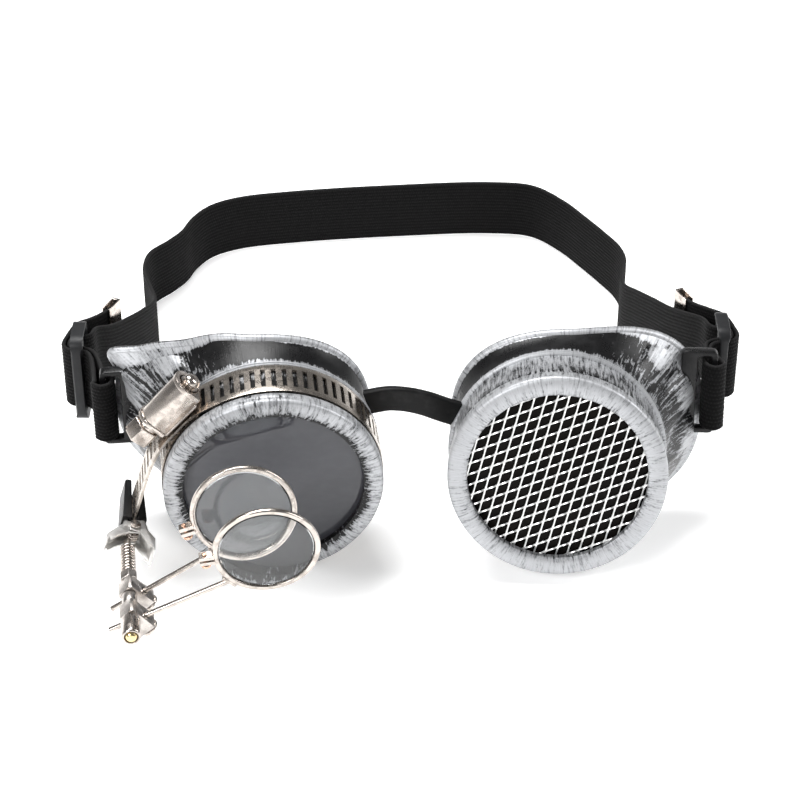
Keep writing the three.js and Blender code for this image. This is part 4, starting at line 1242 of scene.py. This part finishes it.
# ------------------------------------------------------------------ clamp
@dataclass
class WormClamp:
    """The worm-drive clamp round the left cup: slotted band, housing and screw."""

    cup: Eyecup
    radius: float = 29.95
    thickness: float = 0.7
    width: float = 11.0
    middle: float = 10.6
    top: float = 138.0
    worm: float = 35.6
    slot_pitch: float = 2.85
    slot_length: float = 7.4
    slot_width: float = 1.25

    def path(self) -> list[Flat]:
        """Returns the band's centre line: once round the collar, then off as a tail."""
        points: list[Flat] = []
        angle = self.top - 8
        while angle <= self.top + 342:
            a = math.radians(angle)
            points.append((self.radius * math.cos(a), self.radius * math.sin(a)))
            angle += 3
        for a, r in ((self.top - 12, 30.35), (self.top - 6, 30.85), (self.top, 31.05)):
            points.append((r * math.cos(math.radians(a)), r * math.sin(math.radians(a))))
        points += [(-25.6, 17.9), (-28.7, 14.3), (-31.4, 9.6), (-33.5, 4.5), (-35.2, -1.0)]
        points += [(-37.05, -7.0), (-40.6, -18.5)]
        return points

    def band(self) -> Piece:
        """Builds the band as a slotted strip with real thickness and eased edges."""
        line = spline([(x, 0.0, y) for x, y in self.path()], 10)
        lengths = [0.0]
        for a, b in zip(line, line[1:]):
            lengths.append(lengths[-1] + (b - a).length)

        def at(s: float) -> tuple[Vector, Vector]:
            """Returns the point and the outward normal a length s along the band."""
            reached = next((i for i, gone in enumerate(lengths) if gone >= s), len(lengths) - 1)
            k = min(max(reached, 1), len(line) - 1)
            t = (s - lengths[k - 1]) / max(lengths[k] - lengths[k - 1], 1e-6)
            run = (line[min(k + 1, len(line) - 1)] - line[max(k - 2, 0)]).normalized()
            return line[k - 1].lerp(line[k], t), Vector((run.z, 0, -run.x))

        stations: list[tuple[float, bool]] = []
        s, total = 0.0, lengths[-1]
        while s < total - self.slot_pitch:
            slotted = 13.0 < s < total - 7.0
            stations += [(s, slotted), (s + self.slot_width * 0.5, slotted), (s + self.slot_width, False),
                         (s + (self.slot_width + self.slot_pitch) / 2, False)]
            s += self.slot_pitch
        stations += [(s, False), (total, False)]
        rows = (-self.width / 2, -self.width / 2 + 0.5, -self.slot_length / 2, self.slot_length / 2,
                self.width / 2 - 0.5, self.width / 2)
        half = self.thickness / 2
        bm = bmesh.new()
        grid = []
        for s, _ in stations:
            point, normal = at(s)
            crown = [point - normal * (half + (0.12 if abs(w) > self.width / 2 - 0.1 else 0.0)) for w in rows]
            grid.append([bm.verts.new((p.x, self.middle + w, p.z)) for p, w in zip(crown, rows)])
        for i, (_, slotted) in enumerate(stations[:-1]):
            for j in range(len(rows) - 1):
                if not (slotted and j == 2):
                    bm.faces.new((grid[i][j], grid[i + 1][j], grid[i + 1][j + 1], grid[i][j + 1]))
        bmesh.ops.recalc_face_normals(bm, faces=list(bm.faces))
        bm.normal_update()
        outward = sum(f.normal.dot(f.calc_center_median() - Vector((0, self.middle, 0))) for f in bm.faces)
        depth = -self.thickness if outward > 0 else self.thickness
        bmesh.ops.solidify(bm, geom=list(bm.faces), thickness=depth)
        bm.verts.index_update()
        skin = Skin([tuple(v.co) for v in bm.verts], [tuple(v.index for v in f.verts) for f in bm.faces])
        bm.free()
        piece = Piece("slotted_band", "goggles", "nickel", ("clamp_band",)).build(skin, self.cup.place, angle=40)
        return piece.dress(Palette.BAND.material())

    def turned_to_housing(self, skin: Skin) -> Skin:
        """Turns a skin from the x axis round the cup to where the housing stands."""
        c, s = math.cos(math.radians(self.top)), math.sin(math.radians(self.top))
        return skin.moved(lambda p: (p[0] * c - p[2] * s, p[1], p[0] * s + p[2] * c))

    def housing(self) -> Piece:
        """Builds the pressed housing: a barrel over the worm, end lips and a saddle on the band."""
        skin = Skin()
        for low, high, r in ((-7.75, 7.75, 4.35), (-7.9, -6.7, 4.62), (6.7, 7.9, 4.62)):
            outline = [(32.2, -r - 0.15)]
            arc = [math.pi * k / 28 for k in range(29)]
            outline += [(35.55 + r * math.sin(a), -r * math.cos(a)) for a in arc]
            outline.append((32.2, r + 0.15))
            body = extrude(outline, low, high, [circle(3.2, 32, self.worm)])
            skin.add(body)
        saddle = fillet([(31.75, -5.4), (32.6, -5.6), (32.6, 5.6), (31.75, 5.4)], 0.35)
        skin.add(extrude(saddle, -6.3, 6.3))
        skin = self.turned_to_housing(skin.moved(lambda p: (p[0], p[2] + self.middle, p[1])))
        piece = Piece("worm_housing", "goggles", "nickel", ("clamp_housing",)).build(skin, self.cup.place, 0.28, 3)
        return piece.dress(Palette.NICKEL.material())

    def screw(self) -> Piece:
        """Builds the worm screw: domed tip, thread, collar and slotted hexagon head."""
        profile: list[Flat] = [(0.0, -10.6), (0.9, -10.5), (1.6, -10.2), (2.05, -9.8), (2.3, -9.3), (2.3, -8.9),
                               (1.9, -8.5), (1.9, -8.2), (2.75, -8.0)]
        y = -7.2
        while y < 7.6:
            profile += [(2.75, y), (2.25, y + 0.35), (2.75, y + 0.7)]
            y += 1.1
        profile += [(2.8, 8.0), (3.2, 8.3), (3.4, 8.6), (3.4, 9.2), (3.1, 9.4), (0.0, 9.4)]
        core = lathe(profile, 48)
        head = extrude(circle(4.35, 6), 9.3, 14.4)
        head_piece = Piece("worm_head", "worm", "nickel")

        def lift(p: Point) -> Point:
            """Lays a point of the screw's own y axis along the worm's axis."""
            return (p[0] + self.worm, self.middle - p[2], p[1])

        place = self.cup.place
        head_piece.build(self.turned_to_housing(head.moved(lift)), place, 0.35, 3)
        slot = extrude([(-5.5, -0.6), (5.5, -0.6), (5.5, 0.6), (-5.5, 0.6)], 13.2, 15.4)
        head_piece.hollow([self.turned_to_housing(slot.moved(lift))], place)
        head_piece.dress(Palette.NICKEL.material())
        body = Piece("worm_barrel", "worm", "nickel", ("worm_screw",))
        body.build(self.turned_to_housing(core.moved(lift)), place, angle=35).dress(Palette.NICKEL.material())
        return body

    def build(self) -> list[Piece]:
        """Builds the clamp."""
        return [self.band(), self.housing(), self.screw()]


# ------------------------------------------------------------------ clip
@dataclass
class SpringClip:
    """The sprung clip on the band's tail, with a rubber boot on each jaw."""

    boot_ease: float = 0.8
    jaw_ease: float = 0.14

    def build(self) -> list[Piece]:
        """Builds the jaws, boots, pin and spring."""
        turn = joint("clip_open")
        z = Vector(turn["axis"]).normalized()
        y = Vector((0, 0, 1)).cross(z).normalized()
        place = Place(Vector(turn["pos_m"]), y.cross(z).normalized(), y, z)
        pieces = []
        for kind, body in (("fixed", "goggles"), ("moving", "clip_jaw")):
            jaw = Piece(f"pressed_jaw_{kind}", body, "dark_steel").trace(f"clip_jaw_{kind}", self.jaw_ease)
            boot = Piece(f"rubber_boot_{kind}", body, "rubber").trace(f"jaw_boot_{kind}", self.boot_ease, 3)
            pieces += [jaw.dress(Palette.SATIN.material()), boot.dress(Palette.BOOT.material())]
        pin = Piece("hinge_pin", "goggles", "nickel").trace("clip_pin", 0.12)
        coil = helix(1.5, 0.25, -1.1, 1.1, 3).moved(lambda p: (p[0], -p[2], p[1]))
        spring = Piece("hinge_spring", "goggles", "nickel", ("clip_spring",)).build(coil, place, angle=60)
        return [*pieces, pin.dress(Palette.NICKEL.material()), spring.dress(Palette.NICKEL.material())]


# ------------------------------------------------------------------ loupes
@dataclass
class Loupe:
    """One swinging loupe: rim, closing lugs, foot, arm, lens and screws."""

    name: str
    pitch: float
    slope: float
    lug: float
    foot: float
    along: float
    rim: float = 13.3
    rim_width: float = 0.95
    rim_height: float = 0.76
    wire: float = 0.75
    wire_reach: float = 2.9
    tail: float = 8.5

    def rim_place(self, shaft: Place) -> Place:
        """Returns the frame of the rim, from its lens's box and the shaft's heading."""
        low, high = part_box(f"loupe_lens_{self.name}")
        level = -shaft.y
        tilt = math.radians(self.pitch)
        forward = level * math.cos(tilt) + Vector((0, 0, 1)) * math.sin(tilt)
        return upright_place((low + high) / 2, forward)

    def arm_ends(self, shaft: Place, rim: Place) -> tuple[Vector, Vector]:
        """Returns the arm's free end and its foot, in the rim's frame."""
        t = math.radians(self.slope)
        centre = shaft.to_model((self.wire_reach * math.cos(t), -self.along, self.wire_reach * math.sin(t)))
        a = math.radians(self.foot)
        foot = Vector(((self.rim + 0.5) * math.cos(a), 0, (self.rim + 0.5) * math.sin(a)))
        run = (rim.to_model(foot) - centre).normalized()
        return rim.from_model(centre - run * self.tail * MM), foot

    def frame_piece(self, shaft: Place) -> Piece:
        """Builds the rim with its lugs, foot and arm."""
        rim = self.rim_place(shaft)
        end, foot = self.arm_ends(shaft, rim)
        half, rise = self.rim_width * 0.8, self.rim_height
        section = fillet([(-half, -rise), (half, -rise), (half, rise), (-half, rise)], 0.62, 5)
        ring_path = [Vector((self.rim * math.cos(a), 0, self.rim * math.sin(a)))
                     for a in (2 * math.pi * k / 144 for k in range(144))]
        loops = []
        for p in ring_path:
            out = p.normalized()
            loops.append([tuple(p + out * b + Vector((0, 1, 0)) * a) for a, b in section])
        skin = loft(loops, joined=True)
        skin.add(rod(end, foot, self.wire, 24))
        c, s = math.cos(math.radians(self.foot)), math.sin(math.radians(self.foot))
        pad = rod((0, 0, -2.3), (0, 0, 2.3), 0.8, 16, 0.3)
        skin.add(pad.moved(lambda p: (
            (p[0] * 0.75 + self.rim + 0.95) * c - p[2] * s, p[1] * 1.1, (p[0] * 0.75 + self.rim + 0.95) * s + p[2] * c)))
        c2, s2 = math.cos(math.radians(self.lug)), math.sin(math.radians(self.lug))
        for side in (-1, 1):
            outline = fillet([(self.rim + 0.3, side * 0.85 - 0.5), (self.rim + 4.2, side * 0.85 - 0.5),
                              (self.rim + 4.2, side * 0.85 + 0.5), (self.rim + 0.3, side * 0.85 + 0.5)], 0.2, 2)
            lug = extrude(outline, -1.25, 1.25)
            skin.add(lug.moved(lambda p: (p[0] * c2 - p[2] * s2, p[1], p[0] * s2 + p[2] * c2)))
        piece = Piece(f"loupe_rim_{self.name}", f"loupe_{self.name}", "nickel", (f"loupe_frame_{self.name}",))
        piece.build(skin, rim, angle=40)
        return piece.dress(Palette.NICKEL.material())

    def lens(self, shaft: Place) -> Piece:
        """Builds the thin crowned lens with a ground edge."""
        r = self.rim - 0.85 - 0.3
        profile: list[Flat] = [(0.0, -0.95)]
        profile += [(r * k / 10, -0.35 - 0.6 * (1 - (k / 10) ** 2)) for k in range(1, 11)]
        profile += [(r + 0.28, -0.12), (r + 0.28, 0.12)]
        profile += [(r * k / 10, 0.35 + 0.6 * (1 - (k / 10) ** 2)) for k in range(10, 0, -1)]
        profile.append((0.0, 0.95))
        node = f"loupe_lens_{self.name}"
        piece = Piece(f"loupe_glass_{self.name}", f"loupe_{self.name}", "clear_lens", (node,))
        return piece.build(lathe(profile, 96), self.rim_place(shaft), angle=30).dress(Palette.CLEAR.material())

    def build(self, shaft: Place) -> list[Piece]:
        """Builds the loupe on its shaft."""
        n = self.name
        screw = Piece(f"closing_screw_{n}", f"loupe_{n}", "brass").trace(f"lug_screw_{n}", 0.12)
        block = Piece(f"arm_block_{n}", f"block_{n}", "dark_steel").trace(f"clamp_block_{n}", 0.3, 3)
        pinch = Piece(f"disc_screw_{n}", f"pinch_{n}", "nickel").trace(f"pinch_screw_{n}", 0.14)
        return [self.frame_piece(shaft), self.lens(shaft), screw.dress(Palette.COPPER.material()),
                block.dress(Palette.STEEL.material()), pinch.dress(Palette.NICKEL.material())]


@dataclass
class LoupeShaft:
    """The shaft in front of the clip, with its spring, nut, spacer and end barrel."""

    radius: float = 1.0
    coil: float = 1.5
    coil_wire: float = 0.4
    first_station: float = 23.6
    place: Place = field(init=False)

    def __post_init__(self) -> None:
        """Reads the shaft's line from the rear block's joint."""
        swing = joint("block_swing_rear")
        station = upright_place(swing["pos_m"], swing["axis"])
        self.place = station.ahead(-self.first_station)

    def build(self) -> list[Piece]:
        """Builds the shaft and what is threaded on it."""
        bar = Piece("shaft_bar", "goggles", "nickel", ("loupe_shaft",))
        bar.build(rod((0, -3.0, 0), (0, -40.0, 0), self.radius, 32), self.place, angle=40)
        coil = Piece("shaft_coil", "goggles", "nickel", ("shaft_spring",))
        coil.build(helix(self.coil + 0.15, self.coil_wire, -17.0, -5.6, 9), self.place, angle=60)
        nut = Piece("hexagon_nut", "goggles", "dark_steel").trace("shaft_nut", 0.25, 3)
        spacer = Piece("turned_spacer", "goggles", "dark_steel").trace("shaft_spacer", 0.1)
        barrel = Piece("barrel_end", "goggles", "dark_steel").trace("end_barrel", 0.12)
        button = Piece("brass_button", "goggles", "brass").trace("end_button", 0.12)
        # The bar takes the darker, rougher band nickel so that the gaps between the spring's coils read dark: a
        # painted shade between the coils.
        looks = ((bar, Palette.BAND), (coil, Palette.NICKEL), (nut, Palette.STEEL), (spacer, Palette.STEEL),
                 (barrel, Palette.NICKEL), (button, Palette.BRASS))
        return [piece.dress(look.material()) for piece, look in looks]


# ------------------------------------------------------------------ straps
@dataclass
class HeadStrap:
    """The elastic head strap with its two sliders and crimped tails."""

    left: Eyecup
    right: Eyecup
    width: float = 20.0
    thickness: float = 1.2
    ribs: int = 17
    slider_x: float = 92.5
    slider_y: float = 44.5
    slider_z: tuple[float, float] = (30.5, 33.6)
    tails: tuple[tuple[Point, ...], ...] = (
        ((86.3, 72.0, 14.6), (88.7, 66.4, 16.1), (91.3, 60.4, 18.2), (94.1, 55.2, 20.1)),
        ((84.9, 73.4, 17.2), (87.4, 67.6, 18.9), (90.6, 61.2, 21.3), (94.1, 55.2, 23.2)),
    )
    back: tuple[Point, ...] = (
        (-88.9, 55, 18.6), (-85.4, 62.5, 14.6), (-81.6, 73, 10.4), (-78.0, 85, 6.0), (-76.2, 97, 1.8),
        (-78.4, 107, 0.15), (-81.2, 117, 0.15), (-80.2, 127, 0.15), (-74.6, 134.5, 0.15), (-70.8, 140.5, 0.15),
        (-68.0, 148.5, 0.15), (-63.0, 156.2, 0.15), (-54.1, 161.6, 0.15), (-33.9, 166.0, 0.15), (0, 170.0, 0.15),
        (30, 171.8, 0.15), (44.3, 169.6, 0.15), (53.9, 160.0, 0.15), (60.2, 150.0, 0.15), (66.2, 139.5, 0.15),
        (70.4, 131, 0.15), (71.8, 123.5, 0.15), (70.4, 114.5, 0.3), (70.2, 106, 1.6), (73.0, 96, 5.5),
        (76.9, 84, 10.2), (80.8, 72.5, 14.4), (84.6, 63, 18.6), (88.2, 55, 22.0),
    )

    def end(self, cup: Eyecup) -> list[tuple[float, float, float, float]]:
        """Returns one side's route, from the tail through the slider and round the cup's loop.

        Args:
            cup: the cup on that side.

        Returns:
            Stations of distance from the middle, y, lower edge's height and lean.
        """
        sign = cup.side.sign
        z = self.slider_z[0 if sign < 0 else 1] - self.width / 2
        outer_bar = (sign * (cup.slot_reach + 3), cup.slot_back, cup.slot_rise)
        at = table_place().from_model(cup.place.to_model(outer_bar))
        lean = -cup.place.y.z
        bx, b, by = abs(at.x), at.z - self.width / 2, at.y - lean * self.width / 2
        x, y, m = self.slider_x, self.slider_y, mix(z, b, 0.5)
        return [
            *((*p, 0.0) for p in self.tails[0 if sign < 0 else 1]),
            (x + 3.1, y + 6, z, 0), (x + 3.8, y + 3, z, 0), (x + 4.3, y + 1, z, 0),
            (x + 4.3, y - 1.4, z, 0), (x + 2.7, y - 3.6, z, 0), (x, y - 4.1, z, 0), (x - 2.7, y - 4.8, z, 0),
            (x - 4.2, y - 7.4, z, 0), (bx + 2.7, by + 3.4, m, lean / 2), (bx + 2.2, by - 2.4, b, lean),
            (bx, by - 3.7, b, lean), (bx - 2.2, by - 2.5, b, lean), (bx - 3.0, by, b, lean),
            (bx - 2.2, by + 2.6, b, lean), (bx, by + 3.9, b, lean),
            (mix(x, bx, 0.55) - 3.4, by + 8.5, m, lean / 2), (x - 4.6, y - 4.6, z, 0), (x - 2.4, y - 3.0, z, 0),
            (x + 0.2, y - 2.5, z, 0), (x + 2.4, y - 1.9, z, 0), (x + 2.7, y, z, 0), (x + 2.4, y + 1.9, z, 0),
            (x + 0.2, y + 2.5, z, 0), (x - 2.7, y + 4.0, z, 0),
        ]

    def stations(self) -> list[tuple[float, float, float, float]]:
        """Returns the whole route, from the left tail to the right one."""
        left = [(-x, y, z, lean) for x, y, z, lean in self.end(self.left)]
        middle = [(x, y, z, 0.0) for x, y, z in self.back]
        return [*left, *middle, *reversed(self.end(self.right))]

    def strap(self) -> Piece:
        """Builds the ribbed strap."""
        route = self.stations()
        w = self.width
        lower = spline([(x, y, z) for x, y, z, _ in route], 14)
        upper = spline([(x, y + lean * w, z + w * math.sqrt(1 - lean * lean)) for x, y, z, lean in route], 14)
        picked = [0]
        for i in range(1, len(lower)):
            gone = ((lower[i] + upper[i]) / 2 - (lower[picked[-1]] + upper[picked[-1]]) / 2).length
            if gone > 1.15 or i == len(lower) - 1:
                picked.append(i)
        count = self.ribs * 4
        loops, flows, edges = [], [], []
        length = 0.0
        for n, i in enumerate(picked):
            a, b = lower[i], upper[i]
            before, after = picked[max(n - 1, 0)], picked[min(n + 1, len(picked) - 1)]
            run = ((lower[after] + upper[after]) - (lower[before] + upper[before])).normalized()
            across = (b - a).normalized()
            normal = across.cross(run).normalized()
            if n:
                length += ((a + b) / 2 - (lower[picked[n - 1]] + upper[picked[n - 1]]) / 2).length
            loop = []
            for face in (1, -1):
                for j in range(count + 1):
                    f = j / count if face > 0 else 1 - j / count
                    rib = 0.5 - 0.5 * math.cos(2 * math.pi * f * self.ribs)
                    rounding = min(1.0, math.sqrt(max(0.0, min(f, 1 - f) * w / 0.5)) + 0.35)
                    half = self.thickness / 2 * (0.74 + 0.26 * rib) * rounding
                    loop.append(tuple(a.lerp(b, f) + normal * half * face))
                    flows.append((f * w, length, face * 3.0))
                    edges.append(max(0.0, 1 - min(f, 1 - f) * w / 0.45))
            loops.append(loop)
        piece = Piece("elastic_strap", "goggles", "webbing", ("head_strap",))
        mesh = bpy.data.meshes.new(piece.name)
        skin = loft(loops, caps=True)
        place = table_place()
        mesh.from_pydata([tuple(place.to_model(p)) for p in skin.points], [], skin.faces)
        store_paint(mesh, edges, [c for f in flows for c in f])
        piece.finish(mesh, 0.0, 1, 60)
        LOG.info("strap length %.0f mm over %d stations", length, len(picked))
        return piece.dress(Palette.WEBBING.material())

    def slider(self, side: Side) -> Piece:
        """Builds one slider: rounded ears joined by slimmer bars."""
        node = f"slider_{side.value}"
        low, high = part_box(node)
        middle = (low + high) / 2
        place = Place(middle, Vector((1, 0, 0)), Vector((0, 1, 0)), Vector((0, 0, 1)))
        outline = fillet([(-7, -14), (7, -14), (7, 14), (-7, 14)], 4.4, 8)
        ends = ((-5.4, -1.4), (1.4, 5.4))
        slots = [fillet([(a, -11.1), (b, -11.1), (b, 11.1), (a, 11.1)], 1.2, 4) for a, b in ends]
        plate = extrude(outline, -1.6, 1.6, slots).moved(lambda p: (p[1], p[0], p[2]))
        piece = Piece(f"strap_slider_{side.value}", "goggles", "slider_plastic", (node,)).build(plate, place, 0.75, 4)
        back = place.matrix().inverted()
        for vertex in piece.shown.data.vertices:
            p = back @ vertex.co
            ear = smooth((abs(p.z) - 10.2) / 2.2)
            p.x *= mix(0.72, 1.12, ear)
            vertex.co = place.matrix() @ p
        return piece.dress(Palette.SLIDER.material())

    def crimp(self, side: Side) -> Piece:
        """Builds one folded crimp on a free tail."""
        piece = Piece(f"folded_crimp_{side.value}", "goggles", "nickel").trace(f"tail_crimp_{side.value}", 0.12)
        return piece.dress(Palette.NICKEL.material())

    def build(self) -> list[Piece]:
        """Builds the strap and what is on it."""
        return [self.strap(), *(self.slider(s) for s in Side), *(self.crimp(s) for s in Side)]


# ------------------------------------------------------------------ studio
@dataclass
class Studio:
    """The pale table, the soft lights and the camera."""

    target: Point = (0.0, -0.0567, 0.0514)
    elevation: float = 35.0
    distance: float = 0.65
    lens: float = 108.2

    def camera(self) -> None:
        """Sets the camera."""
        e = math.radians(self.elevation)
        eye = Vector(self.target) + Vector((0, -math.cos(e), math.sin(e))) * self.distance
        data = bpy.data.cameras.new("studio_camera")
        data.lens = self.lens
        data.sensor_width = 36.0
        data.clip_start = 0.01
        shown = bpy.data.objects.new("studio_camera", data)
        shown.location = eye
        shown.rotation_euler = (Vector(self.target) - eye).to_track_quat("-Z", "Y").to_euler()
        bpy.context.scene.collection.objects.link(shown)
        bpy.context.scene.camera = shown

    def table(self) -> None:
        """Lays the pale table top."""
        mesh = bpy.data.meshes.new("table_top")
        r = 4.0
        mesh.from_pydata([(-r, -r, 0), (r, -r, 0), (r, r, 0), (-r, r, 0)], [], [(0, 1, 2, 3)])
        material = bpy.data.materials.new("pale_table")
        material.use_nodes = True
        surface = material.node_tree.nodes["Principled BSDF"]
        surface.inputs["Base Color"].default_value = rgb(0.93, 0.93, 0.93)
        surface.inputs["Roughness"].default_value = 0.9
        surface.inputs["Specular IOR Level"].default_value = 0.1
        surface.inputs["Emission Color"].default_value = rgb(1.0, 1.0, 1.0)
        surface.inputs["Emission Strength"].default_value = 0.42
        mesh.materials.append(material)
        shown = bpy.data.objects.new("table_top", mesh)
        bpy.context.scene.collection.objects.link(shown)

    def lamp(self, name: str, at: Point, size: tuple[float, float], power: float) -> None:
        """Hangs one soft light that looks at the goggles."""
        data = bpy.data.lights.new(name, "AREA")
        data.shape = "RECTANGLE"
        data.size, data.size_y = size
        data.energy = power
        shown = bpy.data.objects.new(name, data)
        shown.location = at
        shown.rotation_euler = (Vector((0, 0, 0.02)) - Vector(at)).to_track_quat("-Z", "Y").to_euler()
        bpy.context.scene.collection.objects.link(shown)

    def room(self) -> None:
        """Sets the room: mid grey at the horizon and dark above, so that metal has contrast."""
        world = bpy.data.worlds.new("studio_room")
        world.use_nodes = True
        tree = Tree(world.node_tree)
        background = world.node_tree.nodes["Background"]
        height = tree.put("SeparateXYZ", {0: tree.put("TexCoord").outputs["Generated"]}).outputs[2]
        level = tree.ramp(height, 0.02, 0.5, 0.55, 0.13)
        grey = tree.put("CombineColor", {0: level, 1: level, 2: level}).outputs[0]
        tree.join(grey, background.inputs["Color"])
        background.inputs["Strength"].default_value = 0.85
        bpy.context.scene.world = world
        bpy.context.scene.view_settings.view_transform = "Standard"

    def build(self) -> None:
        """Sets up the studio."""
        self.camera()
        self.table()
        self.room()
        self.lamp("soft_top", (-0.2, 0.25, 0.95), (0.6, 0.5), 11.0)
        self.lamp("soft_front", (-0.55, -0.75, 0.7), (0.4, 0.3), 6.5)
        self.lamp("soft_right", (0.8, 0.0, 0.55), (0.25, 0.5), 4.0)


def main() -> None:
    """Builds the goggles and the studio."""
    logging.basicConfig(level=logging.INFO, format="%(name)s %(message)s")
    Studio().build()
    left, right = Eyecup(Side.LEFT, 5.0, 42.2), Eyecup(Side.RIGHT, 11.5, 40.6)
    shaft = LoupeShaft()
    rear = Loupe("rear", pitch=4, slope=-46, lug=196, foot=237, along=23.6)
    front = Loupe("front", pitch=-5, slope=-50, lug=186, foot=226, along=33.2)
    pieces: list[Piece] = []
    clamp, strap = WormClamp(left), HeadStrap(left, right)
    for part in (left, right, Grille(right), Bridge(), clamp, SpringClip(), shaft, strap):
        pieces += part.build()
    for loupe in (rear, front):
        pieces += loupe.build(shaft.place)
    washer = frame["nodes"]["lens_washer_left"]
    washer.data.materials.clear()
    washer.data.materials.append(Palette.RUBBER.material())
    LOG.info("%d pieces built", len(pieces))


if __name__ == "__main__":
    main()
